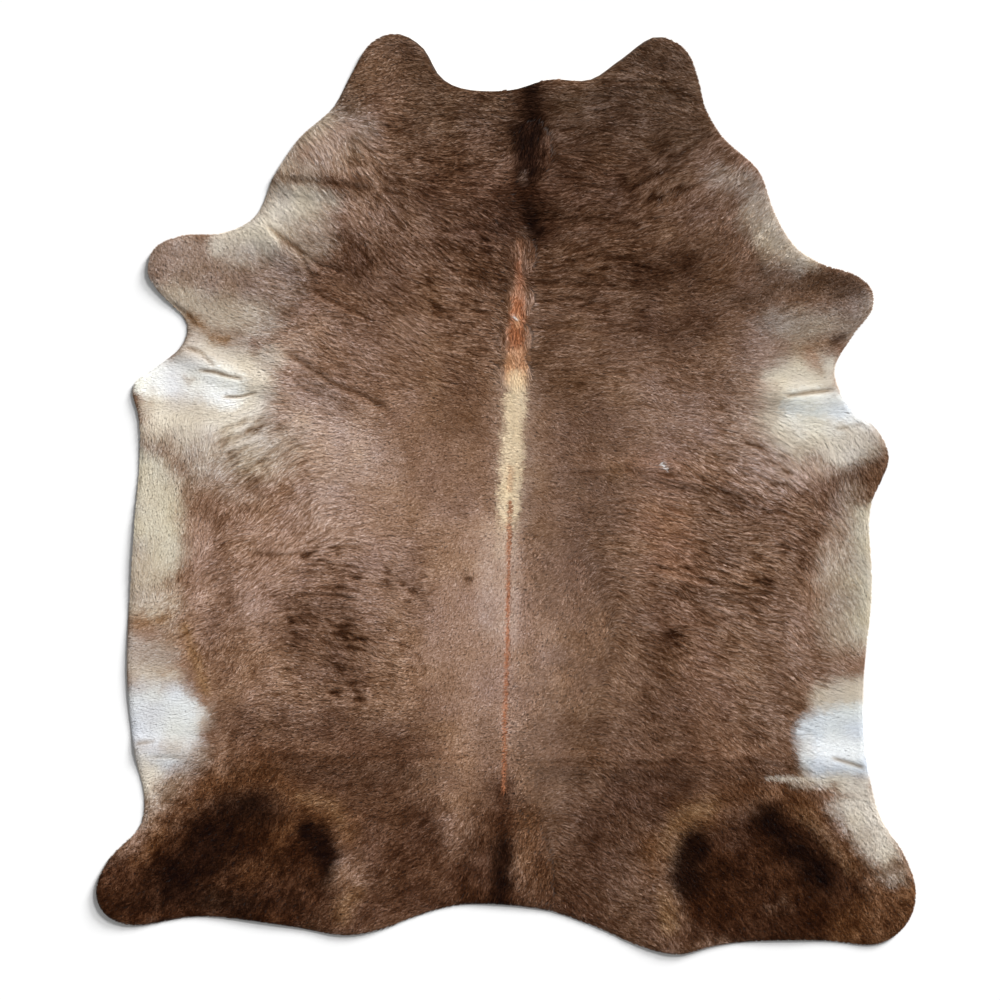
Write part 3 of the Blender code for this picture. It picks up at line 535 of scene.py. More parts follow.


# How the hair lies: place, x, y and reach; the way that locks and ripples run; length of a lock;
# height of the ripples; how far painted shade and light follow them, and how far the mottles
# darken and lighten; how unruly locks are.
LIE = (
    ("spine", 0, 100, 130, 170, 11, 0.1, 0.12, 0.2, 24),
    ("spine, loin", 0, -300, 150, 50, 11, 0.1, 0.1, 0.2, 24),
    ("spine, rump", 0, -650, 130, 30, 11, 0.1, 0.15, 0.24, 24),
    ("spine, left of it", -210, 100, 110, 20, 11, 0.1, 0.12, 0.22, 24),
    ("spine, right of it", 230, 60, 110, 170, 11, 0.15, 0.22, 0.22, 24),
    ("neck's tip, left", -357, 990, 110, 20, 13, 0.3, 0.35, 0.4, 18),
    ("neck, left", -210, 880, 130, 172, 15, 0.5, 0.6, 0.45, 9),
    ("neck, left of the stripe", -63, 850, 90, 14, 15, 0.5, 0.55, 0.55, 9),
    ("neck stripe", 65, 850, 60, 85, 18, 0.6, 0.7, 1.1, 9),
    ("stripe, top", 36, 590, 34, 88, 14, 0.2, 0.35, 0.3, 9),
    ("stripe, rosy", 28, 480, 30, 88, 14, 0.2, 0.4, 0.3, 9),
    ("stripe, rust", 24, 380, 30, 88, 14, 0.2, 0.4, 0.3, 9),
    ("stripe, tan", 22, 290, 30, 88, 14, 0.2, 0.3, 0.2, 9),
    ("neck, right", 230, 880, 130, 178, 15, 0.5, 0.55, 0.5, 9),
    ("neck's tip, right", 400, 980, 110, 164, 13, 0.4, 0.5, 0.45, 18),
    ("neck's side, left", -490, 843, 90, 118, 20, 0.7, 0.45, 0.5, 12),
    ("neck's inner side, left", -357, 800, 90, 135, 16, 0.6, 0.7, 0.5, 14),
    ("neck's side, right", 540, 800, 100, 42, 18, 0.7, 0.6, 0.7, 9),
    ("neck's inner side, right", 390, 760, 100, 32, 15, 0.5, 0.55, 0.5, 9),
    ("shoulder's rim, left", -504, 680, 90, 132, 14, 0.4, 0.3, 0.6, 22),
    ("shoulder, left", -320, 640, 110, 130, 13, 0.5, 0.5, 0.55, 18),
    ("withers, left", -140, 560, 130, 162, 15, 0.6, 0.75, 0.5, 9),
    ("withers, right", 230, 600, 120, 8, 15, 0.6, 0.65, 0.5, 9),
    ("shoulder's rim, right", 560, 640, 90, 50, 13, 0.4, 0.4, 0.5, 18),
    ("foreleg, left", -780, 549, 110, 120, 11, 0.15, 0.15, 0.4, 34),
    ("elbow, left", -480, 420, 120, 170, 13, 0.4, 0.45, 0.42, 18),
    ("behind the withers, left", -210, 380, 120, 169, 15, 0.4, 0.42, 0.36, 9),
    ("behind the withers, right", 230, 360, 120, 4, 15, 0.4, 0.45, 0.3, 9),
    ("elbow, right", 500, 440, 130, 10, 13, 0.4, 0.4, 0.36, 18),
    ("foreleg, right", 760, 500, 110, 24, 11, 0.25, 0.25, 0.45, 32),
    ("armpit, left", -780, 290, 120, 8, 13, 0.05, 0.05, 0.15, 9),
    ("ribs, left, top", -430, 254, 110, 172, 13, 0.4, 0.45, 0.36, 18),
    ("armpit, right", 760, 230, 110, 5, 13, 0.08, 0.08, 0.2, 9),
    ("ribs, right, top", 450, 254, 120, 167, 13, 0.3, 0.45, 0.24, 18),
    ("chest, left", -800, 130, 90, 90, 14, 0.3, 0.25, 0.4, 14),
    ("ribs, left", -590, 80, 110, 35, 15, 0.8, 0.62, 0.25, 9),
    ("ribs, left, inner", -357, 60, 90, 8, 11, 0.3, 0.3, 0.2, 24),
    ("chest, right", 810, 100, 90, 120, 13, 0.3, 0.3, 0.5, 16),
    ("ribs, right", 600, 90, 120, 151, 15, 0.7, 0.75, 0.3, 9),
    ("side, right", 600, -80, 120, 161, 15, 0.8, 0.8, 0.45, 9),
    ("side, right, inner", 377, -100, 110, 165, 15, 0.5, 0.7, 0.24, 9),
    ("flank's edge, left", -820, -60, 80, 82, 11, 0.2, 0.14, 0.35, 16),
    ("side, left", -580, -100, 120, 40, 15, 0.7, 0.6, 0.3, 9),
    ("side, left, inner", -400, -205, 80, 174, 12, 0.4, 0.45, 0.3, 9),
    ("flank's ripples, left", -440, -330, 100, 170, 12, 0.5, 0.5, 0.45, 9),
    ("loin, left", -250, -210, 80, 175, 13, 0.25, 0.3, 0.4, 18),
    ("flank, left", -651, -333, 90, 38, 13, 0.5, 0.4, 0.4, 18),
    ("flank, right", 540, -280, 130, 162, 15, 0.7, 0.72, 0.4, 9),
    ("flank's edge, right", 830, -220, 90, 112, 11, 0.2, 0.18, 0.4, 16),
    ("haunch, left, top", -440, -480, 110, 172, 12, 0.45, 0.45, 0.45, 14),
    ("haunch, right, top", 600, -480, 120, 151, 15, 0.5, 0.6, 0.4, 9),
    ("flank's cluster, right", 400, -380, 80, 150, 13, 0.4, 0.45, 0.5, 14),
    ("white patch, left", -840, -560, 110, 20, 13, 0.05, 0.08, 0.2, 9),
    ("white patch, right", 840, -600, 90, 170, 13, 0.05, 0.08, 0.2, 9),
    ("haunch, left", -450, -640, 130, 25, 13, 0.3, 0.35, 0.36, 18),
    ("haunch, right", 450, -640, 140, 150, 13, 0.4, 0.4, 0.32, 18),
    ("thigh, left", -300, -850, 120, 30, 13, 0.4, 0.4, 0.5, 18),
    ("thigh, right", 280, -850, 120, 148, 13, 0.4, 0.5, 0.42, 18),
    ("tail root", -20, -900, 90, 60, 13, 0.4, 0.4, 0.6, 18),
    ("hind leg, left", -720, -880, 170, 50, 13, 0.35, 0.45, 1.0, 30),
    ("hind leg, right", 720, -920, 170, 130, 13, 0.35, 0.45, 0.8, 30),
)
LIE_COLUMNS = ("x", "y", "reach", "way", "length", "ripple_height", "contrast", "mottle", "unruly")

# Creases: place, lift of the skin (a trough is below 0), half width, painted shade on the hair in
# it (painted light below 0), then the line.
CREASES = (
    ("left of the neck", -1.6, 8, 0.55, ((-565, 772), (-505, 768), (-420, 760), (-330, 745))),
    ("left of the neck, faint", -0.8, 14, 0.3, ((-560, 790), (-450, 782), (-340, 770))),
    ("below it", 1.6, 16, -0.1, ((-560, 745), (-480, 735), (-400, 735))),
    ("left shoulder, upper", -1.4, 8, 0.6, ((-593, 662), (-540, 620), (-507, 598), (-466, 500))),
    ("left shoulder, branch", -1.2, 6, 0.5, ((-507, 598), (-460, 560), (-400, 545))),
    ("left shoulder, middle", -1.4, 8, 0.65, ((-480, 500), (-405, 462), (-326, 426))),
    ("left shoulder, lower", -1.5, 9, 0.7,
     ((-551, 345), (-512, 331), (-431, 274), (-345, 238), (-274, 195))),
    ("left armpit, rim", -1.2, 6, 0.6, ((-820, 470), (-775, 436), (-760, 405))),
    ("left armpit, upper", -1.3, 6, 0.75, ((-790, 362), (-750, 348), (-713, 309))),
    ("left armpit, middle", -1.3, 6, 0.75, ((-757, 304), (-713, 299), (-676, 287), (-640, 282))),
    ("left armpit, lower", -1.2, 6, 0.7, ((-698, 238), (-652, 238), (-606, 250))),
    ("left white patch, rim", -0.8, 6, 0.4, ((-910, -612), (-860, -606))),
    ("left white patch", -0.8, 6, 0.35, ((-872, -645), (-788, -645))),
    ("left side", -1.0, 7, 0.5, ((-630, -147), (-545, -152), (-466, -147))),
    ("left ribs", -1.2, 7, 0.6, ((-520, -248), (-420, -247), (-358, -262))),
    ("left ribs, small", -1.0, 6, 0.6, ((-400, -306), (-372, -310))),
    ("left ribs, top", -0.8, 6, 0.5, ((-450, -136), (-395, -128), (-345, -134))),
    ("right of the neck, top", -0.9, 5, 0.5, ((205, 1006), (340, 1010), (450, 1004))),
    ("right of the neck, first", -0.8, 5, 0.4, ((210, 990), (330, 992), (440, 985))),
    ("right of the neck, long", -1.4, 8, 0.6, ((287, 733), (392, 794), (463, 862), (520, 880))),
    ("right of the neck, lower", -1.4, 8, 0.6, ((350, 698), (439, 740), (525, 782))),
    ("neck, near the spine", -0.8, 6, 0.5, ((130, 894), (190, 893))),
    ("neck, lower", -0.8, 6, 0.5, ((130, 832), (205, 830))),
    ("neck, lowest", -0.8, 6, 0.5, ((110, 774), (210, 772))),
    ("neck's base, right", -0.8, 6, 0.45, ((40, 664), (120, 672), (230, 662))),
    ("neck's base, left", -0.8, 6, 0.45, ((-170, 640), (-90, 652), (0, 640))),
    ("withers, first", -0.8, 6, 0.4, ((-140, 586), (-70, 592), (10, 584))),
    ("withers, right", -0.9, 6, 0.5, ((60, 513), (150, 517), (230, 508))),
    ("withers, left", -0.9, 6, 0.5, ((-210, 508), (-120, 515), (-30, 510))),
    ("shoulder, right", -0.8, 6, 0.4, ((60, 470), (170, 474), (260, 462))),
    ("shoulder, left", -0.8, 6, 0.4, ((-200, 442), (-110, 452), (-30, 440))),
    ("behind the withers, right", -0.8, 6, 0.35, ((60, 402), (160, 408), (240, 398))),
    ("right armpit", -1.4, 6, 0.62, ((679, 238), (740, 248), (806, 255))),
    ("right chest", -0.8, 5, 0.4, ((806, 157), (880, 172))),
    ("right white patch", -1.0, 6, 0.6, ((794, -645), (840, -658), (882, -672))),
    ("right ribs", -0.7, 6, 0.35, ((110, 47), (300, 58), (480, 40), (598, 46))),
    ("right ribs, low", -0.7, 6, 0.35, ((280, 60), (420, 10), (560, 0), (622, -60))),
    ("right side", -0.8, 7, 0.35, ((330, -165), (450, -205), (560, -225), (645, -255))),
    ("thighs, left", -0.7, 7, 0.35, ((-750, -640), (-500, -648), (-250, -645), (-15, -645))),
    ("thighs, right", -0.7, 7, 0.35, ((20, -655), (300, -660), (600, -655), (790, -690))),
    ("tail root", -0.8, 8, 0.0, ((-5, -720), (-15, -1000))),
    ("spine", -0.5, 6, 0.0, ((24, 600), (10, 230), (5, -300), (-5, -720))),
    ("right side, line", -0.6, 5, 0.5, ((443, -246), (472, -240), (503, -238))),
    ("right side, long line", -0.6, 5, 0.4, ((353, -181), (420, -184), (483, -181))),
    ("right side, low line", -0.6, 5, 0.45, ((525, -306), (560, -304), (591, -298))),
)

# Patches of short creases: place, x, y and half sizes of the patch; how many creases; their
# length; the way they run and how much it varies; painted shade on the hair in them.
PATCHES = (
    ("neck, left", -297, 819, 85, 120, 90, 26, 135, 24, 0.42),
    ("neck, left, inner", -170, 830, 100, 120, 30, 24, 172, 15, 0.42),
    ("neck, right", 230, 860, 130, 120, 34, 26, 172, 14, 0.3),
    ("neck, right, lower", 267, 708, 110, 75, 40, 28, 170, 14, 0.56),
    ("neck, right, outer", 390, 782, 75, 75, 36, 26, 38, 12, 0.56),
    ("withers, left", -125, 540, 130, 110, 60, 30, 162, 12, 0.56),
    ("withers, right", 243, 512, 120, 90, 40, 34, 5, 10, 0.53),
    ("chest, left", -610, 105, 115, 95, 90, 40, 40, 9, 0.26),
    ("side, right", 586, 34, 110, 110, 50, 34, 155, 12, 0.42),
    ("side, right, low", 537, -223, 120, 100, 40, 30, 160, 12, 0.5),
    ("side, left", -480, -130, 70, 90, 20, 26, 30, 20, 0.49),
    ("flank, left, upper", -405, -205, 52, 40, 20, 30, 172, 8, 0.6),
    ("flank, left, middle", -395, -362, 44, 52, 24, 30, 170, 8, 0.6),
    ("flank, left, lower", -388, -475, 38, 58, 24, 28, 170, 9, 0.6),
    ("flank, left, outer", -518, -338, 34, 42, 14, 30, 174, 8, 0.6),
    ("flank, left, slant", -288, -205, 24, 26, 6, 20, 130, 14, 0.77),
    ("flank, left, inner", -225, -232, 42, 44, 18, 20, 165, 20, 0.55),
    ("flank, left, small", -252, -368, 22, 18, 5, 16, 165, 25, 0.7),
    ("flank, left, last", -212, -420, 16, 22, 4, 20, 130, 14, 0.63),
    ("flank, left, speck", -92, -212, 8, 20, 4, 14, 170, 20, 0.56),
    ("flank, right", 414, -388, 34, 58, 20, 26, 155, 10, 0.6),
    ("flank, right, upper", 640, -208, 22, 14, 6, 18, 165, 20, 0.77),
    ("flank, right, edge", 684, -505, 38, 42, 16, 26, 155, 10, 0.3),
    ("elbow, right", 684, -145, 16, 34, 6, 18, 150, 20, 0.63),
    ("hind leg, left", -600, -960, 140, 70, 26, 26, 60, 40, 0.56),
    ("hind leg, right", 650, -960, 130, 80, 22, 26, 120, 40, 0.56),
)
PATCH_COLUMNS = ("x", "y", "half_x", "half_y", "count", "length", "way", "turn", "painted_shade")


def linear(screen):
    """A screen colour, 0 to 255, as linear light."""
    parts = [c / 255 for c in screen]
    return tuple(c / 12.92 if c <= 0.04045 else ((c + 0.055) / 1.055) ** 2.4 for c in parts)


def smoothstep(t):
    """0 below 0, 1 above 1, and a soft rise between."""
    t = np.clip(t, 0.0, 1.0)
    return t * t * (3.0 - 2.0 * t)


class Raster:
    """Even points over the hide, in rows along y. A field on it is an array of its shape."""

    def __init__(self, pitch):
        low, high = cad_box
        self.pitch = pitch
        self.west, self.south = low[0] - MARGIN, low[1] - MARGIN
        self.columns = math.ceil((high[0] - low[0] + 2 * MARGIN) / pitch) + 1
        self.rows = math.ceil((high[1] - low[1] + 2 * MARGIN) / pitch) + 1
        self.x, self.y = np.meshgrid(
            self.west + pitch * np.arange(self.columns, dtype=np.float32),
            self.south + pitch * np.arange(self.rows, dtype=np.float32),
        )

    def read(self, field, x, y):
        """The field between its points."""
        u = np.clip((x - self.west) / self.pitch, 0, self.columns - 1.01)
        v = np.clip((y - self.south) / self.pitch, 0, self.rows - 1.01)
        i, j = u.astype(np.int32), v.astype(np.int32)
        u, v = (u - i).astype(np.float32), (v - j).astype(np.float32)
        if field.ndim == 3:
            u, v = u[..., None], v[..., None]
        lower = field[j, i] * (1 - u) + field[j, i + 1] * u
        upper = field[j + 1, i] * (1 - u) + field[j + 1, i + 1] * u
        return lower * (1 - v) + upper * v

    def noise(self, rng, reach):
        """Soft noise from -1 to 1 whose lumps are about reach across."""
        u = (self.x[0] - self.west) / reach
        v = (self.y[:, 0] - self.south) / reach
        values = rng.uniform(-1, 1, (int(v[-1]) + 2, int(u[-1]) + 2)).astype(np.float32)
        i, j = u.astype(int), v.astype(int)
        u, v = smoothstep(u - i), smoothstep(v - j)[:, None]
        across = values[:, i] * (1 - u) + values[:, i + 1] * u
        return across[j] * (1 - v) + across[j + 1] * v

    def noises(self, rng, *parts):
        """Noises added up: the share of each and its reach in millimetres."""
        return sum(share * self.noise(rng, reach * MM) for share, reach in parts)

    def around(self, points, reach):
        """The part of the raster within reach of some points, as slices."""
        span = []
        for k, start, count in ((1, self.south, self.rows), (0, self.west, self.columns)):
            low = math.floor((min(p[k] for p in points) - reach - start) / self.pitch)
            high = math.ceil((max(p[k] for p in points) + reach - start) / self.pitch)
            span.append(slice(max(low, 0), min(high + 1, count)))
        return tuple(span)


def metres(line_mm):
    """Millimetre pairs as metre pairs."""
    return [(x * MM, y * MM) for x, y in line_mm]


def distance_to_line(x, y, line):
    """Distance from a line of points, and how far along the line the nearest point is."""
    if len(line) == 1:
        return np.hypot(x - line[0][0], y - line[0][1]), np.full(x.shape, 0.5, np.float32)
    total = sum(math.dist(a, b) for a, b in zip(line, line[1:]))
    best = along = None
    walked = 0.0
    for a, b in zip(line, line[1:]):
        length = math.dist(a, b)
        dx, dy = (b[0] - a[0]) / length, (b[1] - a[1]) / length
        t = np.clip((x - a[0]) * dx + (y - a[1]) * dy, 0, length)
        d = np.hypot(x - a[0] - t * dx, y - a[1] - t * dy)
        part = (walked + t) / total
        if best is None:
            best, along = d, part
        else:
            along = np.where(d < best, part, along)
            best = np.minimum(best, d)
        walked += length
    return best, along


def blurred(field, times):
    """The field, evened out with its neighbours."""
    for _ in range(times):
        for axis in (0, 1):
            field = (np.roll(field, 1, axis) + 2 * field + np.roll(field, -1, axis)) / 4
    return field


def hide_bmesh():
    """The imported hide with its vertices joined."""
    bm = bmesh.new()
    bm.from_mesh(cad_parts[NODE].data)
    bmesh.ops.remove_doubles(bm, verts=bm.verts, dist=WELD)
    return bm


def rim_segments(bm):
    """The underside's edge as pairs of flat points."""
    ends = []
    for edge in bm.edges:
        steep = [abs(face.normal.z) < 0.5 for face in edge.link_faces]
        below = [face.normal.z < -0.5 for face in edge.link_faces]
        if any(steep) and any(below):
            ends.append([v.co.xy[:] for v in edge.verts])
    return np.array(ends, np.float32)


def spread_outward(heights, known):
    """Fills the heights past the rim with those of their known neighbours."""
    while not known.all():
        total = np.zeros(heights.shape, np.float32)
        count = np.zeros(heights.shape, np.float32)
        for axis, way in ((0, 1), (0, -1), (1, 1), (1, -1)):
            total += np.roll(heights * known, way, axis)
            count += np.roll(known, way, axis)
        fresh = ~known & (count > 0)
        heights[fresh] = total[fresh] / count[fresh]
        known |= fresh


def rim_distances(raster, segments):
    """Distance of each point of the raster from the rim."""
    start, along = segments[:, 0], segments[:, 1] - segments[:, 0]
    square = (along ** 2).sum(1)
    rim = np.empty(raster.x.shape, np.float32)
    for j in range(raster.rows):
        dx = raster.x[j][:, None] - start[:, 0]
        dy = raster.y[j][:, None] - start[:, 1]
        t = np.clip((dx * along[:, 0] + dy * along[:, 1]) / square, 0, 1)
        rim[j] = np.hypot(dx - t * along[:, 0], dy - t * along[:, 1]).min(1)
    return rim


@functools.cache
def hide_survey():
    """The height raster, the underside's heights on it and the distances in from the rim."""
    raster = Raster(HEIGHT_PITCH)
    bm = hide_bmesh()
    tree = BVHTree.FromBMesh(bm)
    segments = rim_segments(bm)
    bm.free()
    up = Vector((0, 0, 1))
    heights = np.zeros(raster.x.shape, np.float32)
    known = np.zeros(raster.x.shape, bool)
    for j, i in np.ndindex(raster.x.shape):
        hit = tree.ray_cast(Vector((raster.x[j, i], raster.y[j, i], -1)), up)[0]
        if hit is not None:
            heights[j, i] = hit.z
            known[j, i] = True
    inside = known.copy()
    spread_outward(heights, known)
    rim = rim_distances(raster, segments)
    return raster, blurred(heights, 2), np.where(inside, rim, -rim)


def short_creases(rng):
    """Rows like those of CREASES for the short creases of each patch."""
    for name, *numbers in PATCHES:
        row = dict(zip(PATCH_COLUMNS, numbers))
        for _ in range(row["count"]):
            out, around = math.sqrt(rng.random()), rng.uniform(0, math.tau)
            x = row["x"] + row["half_x"] * out * math.cos(around)
            y = row["y"] + row["half_y"] * out * math.sin(around)
            way = math.radians(row["way"] + row["turn"] * rng.normal())
            reach = row["length"] / 2 * rng.uniform(0.6, 1.3)
            c, s = math.cos(way), math.sin(way)
            line = [
                (x + along * c - aside * s, y + along * s + aside * c)
                for along, aside in ((-reach, 0), (0, 0.2 * reach * rng.normal()), (reach, 0))
            ]
            yield name, SHORT_CREASE_LIFT, SHORT_CREASE_HALF, row["painted_shade"], line


def crease_fields(raster, seed):
    """Lift of the skin from the creases, and the painted shade that they put on the hair."""
    rng = np.random.default_rng(seed)
    wander = raster.noise(rng, 30 * MM)
    lift = np.zeros(raster.x.shape, np.float32)
    dark = np.zeros(raster.x.shape, np.float32)
    for _, height, half, painted_shade, line_mm in (*CREASES, *short_creases(rng)):
        line = metres(line_mm)
        part = raster.around(line, CREASE_REACH * half * MM)
        distance, along = distance_to_line(raster.x[part], raster.y[part], line)
        distance = distance + CREASE_WANDER * half * MM * wander[part]
        ends = smoothstep(np.minimum(along, 1 - along) * 6 + 0.1)
        hump = np.exp(-((distance / (half * MM)) ** 2)) * ends
        lift[part] += height * MM * hump
        # painted shade on the hair along the crease, painted light where it is below 0
        shade_half = CREASE_SHADE_HALF * half * MM
        dark[part] += painted_shade * np.exp(-((distance / shade_half) ** 2)) * ends
    return lift, np.clip(dark, *CREASE_SHADE_LIMITS)


def palette_of(colours):
    """The settings' hair colours as arrays."""
    return {name: np.array(getattr(colours, name), np.float32) for name in PALETTE}


def paint_coat(raster, colours, seed):
    """Colour of the hair at each point: the base, then each marking with ragged edges."""
    rng = np.random.default_rng(seed)
    ragged = raster.noises(rng, (0.6, 60), (0.5, 25))
    fine = raster.noise(rng, 8 * MM)
    palette = palette_of(colours)
    coat = np.empty(raster.x.shape + (3,), np.float32)
    coat[:] = palette["taupe"]
    for _, colour, strength, half, fade, line_mm in MARKINGS:
        line = metres(line_mm)
        wobble = RAGGEDNESS * min(fade, 2 * half)
        # the ragged noise stays within 1.1
        reach = (half + fade / 2 + 1.2 * wobble + FINE_STRAY) * MM
        part = raster.around(line, reach)
        distance = distance_to_line(raster.x[part], raster.y[part], line)[0] / MM
        distance = distance + ragged[part] * wobble + fine[part] * min(FINE_STRAY, half / 2)
        cover = strength * smoothstep((half + fade / 2 - distance) / fade)
        coat[part] += cover[..., None] * (palette[colour] - coat[part])
    return coat


def lie_fields(raster):
    """Each column of LIE over the raster, and the way in which the locks run."""
    table = [dict(zip(LIE_COLUMNS, row[1:])) for row in LIE]
    weights = []
    for row in table:
        square = (raster.x - row["x"] * MM) ** 2 + (raster.y - row["y"] * MM) ** 2
        weights.append(np.exp(-square / (row["reach"] * MM) ** 2) + 1e-6)
    total = sum(weights)

    def blend(of_row):
        return sum(weight * of_row(row) for weight, row in zip(weights, table)) / total

    fields = {key: blend(lambda row: row[key]) for key in LIE_COLUMNS[4:]}
    # a ripple has no front, so its way is blended as twice its angle
    way = np.arctan2(
        blend(lambda row: math.sin(2 * math.radians(row["way"]))),
        blend(lambda row: math.cos(2 * math.radians(row["way"]))),
    ) / 2
    return fields, way


def drawn_out(values, angle, steps):
    """Noise smeared along the angle at each point, so that it becomes streaks."""
    along_x, along_y = np.cos(angle), np.sin(angle)
    total = values.copy()
    share = 1.0
    rows, columns = values.shape
    for side in (1, -1):
        j, i = np.indices(values.shape, np.float32)
        last_x, last_y = side * along_x, side * along_y
        for step in range(1, steps + 1):
            i = i + last_x
            j = j + last_y
            near = (
                np.clip(np.rint(j), 0, rows - 1).astype(np.int32),
                np.clip(np.rint(i), 0, columns - 1).astype(np.int32),
            )
            weight = 1 - step / (steps + 1)
            total += weight * values[near]
            next_x, next_y = along_x[near], along_y[near]
            turn = np.where(next_x * last_x + next_y * last_y < 0, -1, 1)
            last_x, last_y = turn * next_x, turn * next_y
        share += sum(1 - step / (steps + 1) for step in range(1, steps + 1))
    return total / share


def even(values, spread):
    """Values about 0 with most between -1 and 1, without their slow changes."""
    values = values - blurred(values, spread)
    return np.clip(values / (1.6 * values.std()), -1.3, 1.3).astype(np.float32)


@functools.cache
def coat_fields(seed):
    """Everything that depends on the place in the coat, on the coat raster."""
    raster = Raster(COAT_PITCH)
    rng = np.random.default_rng(seed)
    fields, way = lie_fields(raster)
    way = way + SWERVE * raster.noises(rng, (0.6, 70), (0.6, 32))

    def streaks(blurs, steps, spread):
        white = rng.standard_normal(raster.x.shape).astype(np.float32)
        return even(drawn_out(blurred(white, blurs), way, steps), spread)

    broad = streaks(*BROAD_STREAKS)
    fine = streaks(*FINE_STREAKS)
    lines = np.exp(-((streaks(*LINE_STREAKS) / LINE_WIDTH) ** 2))
    lines = lines * smoothstep(1.6 * raster.noise(rng, 28 * MM) + 0.5)
    clouds = raster.noises(rng, (0.5, 60), (0.7, 26))
    spots = smoothstep(2.2 * streaks(*SPOT_STREAKS) - 0.8)
    warmth = raster.noises(rng, (0.6, 110), (0.6, 45))
    fields.update(
        way_x=np.cos(way), way_y=np.sin(way),
        broad=broad, fine=fine, lines=lines.astype(np.float32),
        clouds=clouds, spots=spots, warmth=warmth,
    )
    return raster, fields


def paint_mesh(mesh, name, colours):
    """Stores a colour for each vertex, with or without alpha."""
    attribute = mesh.color_attributes.new(name, "FLOAT_COLOR", "POINT")
    rgba = np.ones((len(mesh.vertices), 4), np.float32)
    rgba[:, :colours.shape[1]] = colours
    attribute.data.foreach_set("color", rgba.ravel())


def finish_piece(obj, materials):
    """Gives a mesh object its materials, links it and hangs it on the hide's body."""
    for material in materials:
        obj.data.materials.append(material)
    bpy.context.scene.collection.objects.link(obj)
    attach(obj, BODY)


def node_tree(name):
    """A new material with only a Principled shader: the material, its nodes and the shader."""
    material = bpy.data.materials.new(name)
    material.use_nodes = True
    nodes, links = material.node_tree.nodes, material.node_tree.links
    return material, nodes, links, nodes["Principled BSDF"]


def scaled(nodes, links, noise, low, high):
    """A noise's usual range taken to another one."""
    node = nodes.new("ShaderNodeMapRange")
    links.new(noise, node.inputs["Value"])
    sockets = ("From Min", "From Max", "To Min", "To Max")
    for socket, value in zip(sockets, (*NOISE_RANGE, low, high)):
        node.inputs[socket].default_value = value
    return node.outputs["Result"]


def shaded(nodes, links, colour, shade):
    """A colour times a shade."""
    node = nodes.new("ShaderNodeVectorMath")
    node.operation = "SCALE"
    links.new(colour, node.inputs[0])
    links.new(shade, node.inputs["Scale"])
    return node.outputs["Vector"]


def bumped(nodes, links, shader, height, strength, distance):
    """A bump on the shader."""
    node = nodes.new("ShaderNodeBump")
    node.inputs["Strength"].default_value = strength
    node.inputs["Distance"].default_value = distance
    links.new(height, node.inputs["Height"])
    links.new(node.outputs["Normal"], shader.inputs["Normal"])


def stretched_noise(nodes, links, place, scale, detail, stretch):
    """Noise on given coordinates, which are stretched first."""
    mapping = nodes.new("ShaderNodeMapping")
    mapping.inputs["Scale"].default_value = stretch
    noise = nodes.new("ShaderNodeTexNoise")
    noise.inputs["Scale"].default_value = scale
    noise.inputs["Detail"].default_value = detail
    links.new(place, mapping.inputs["Vector"])
    links.new(mapping.outputs["Vector"], noise.inputs["Vector"])
    return noise.outputs["Fac"]


def object_noise(nodes, links, scale, detail, stretch=(1, 1, 1)):
    """Noise on the piece's own Object coordinates."""
    place = nodes.new("ShaderNodeTexCoord").outputs["Object"]
    return stretched_noise(nodes, links, place, scale, detail, stretch)


def painted(nodes, name):
    """Node that reads the colours painted on a mesh."""
    node = nodes.new("ShaderNodeAttribute")
    node.attribute_name = name
    return node


def two_tones(nodes, links, factor, colour, darker):
    """A colour that turns to a darker one where the factor is low."""
    node = nodes.new("ShaderNodeMix")
    node.data_type = "RGBA"
    node.inputs[6].default_value = (*[c * darker for c in colour], 1)
    node.inputs[7].default_value = (*colour, 1)
    links.new(factor, node.inputs["Factor"])
    return node.outputs[2]


def hair_material(settings):
    """Hair: each lock's own colour with its painted shade and light, split into strands along it as
    far as its alpha says.
    """
    material, nodes, links, shader = node_tree("hair")
    colour = painted(nodes, "hair_colour_and_shade")
    place = nodes.new("ShaderNodeUVMap")
    place.uv_map = "along_lock"
    value = stretched_noise(nodes, links, place.outputs["UV"], 1.0, 1.0, (7, 0.8, 1))
    strand = scaled(nodes, links, value, -0.3, 0.28)
    shade = nodes.new("ShaderNodeMath")
    shade.operation = "MULTIPLY_ADD"
    links.new(strand, shade.inputs[0])
    links.new(colour.outputs["Alpha"], shade.inputs[1])
    shade.inputs[2].default_value = 1
    lit = shaded(nodes, links, colour.outputs["Color"], shade.outputs["Value"])
    links.new(lit, shader.inputs["Base Color"])
    links.new(scaled(nodes, links, value, 0.62, 0.46), shader.inputs["Roughness"])
    bumped(nodes, links, shader, value, 0.4, 0.3 * MM)
    shader.inputs["Specular IOR Level"].default_value = settings.gloss
    shader.inputs["Specular Tint"].default_value = (1, 0.85, 0.7, 1)
    return material


def skin_material():
    """Grain side of the leather under the hair: its colour with painted shade under dark hair,
    pores and fine wrinkles.
    """
    material, nodes, links, shader = node_tree("skin")
    colour = painted(nodes, "skin_colour_and_shade")
    grain = object_noise(nodes, links, 900, 3)
    shade = scaled(nodes, links, grain, 0.75, 1.15)
    links.new(shaded(nodes, links, colour.outputs["Color"], shade), shader.inputs["Base Color"])
    links.new(scaled(nodes, links, grain, 0.75, 0.6), shader.inputs["Roughness"])
    bumped(nodes, links, shader, grain, 0.5, 0.3 * MM)
    return material


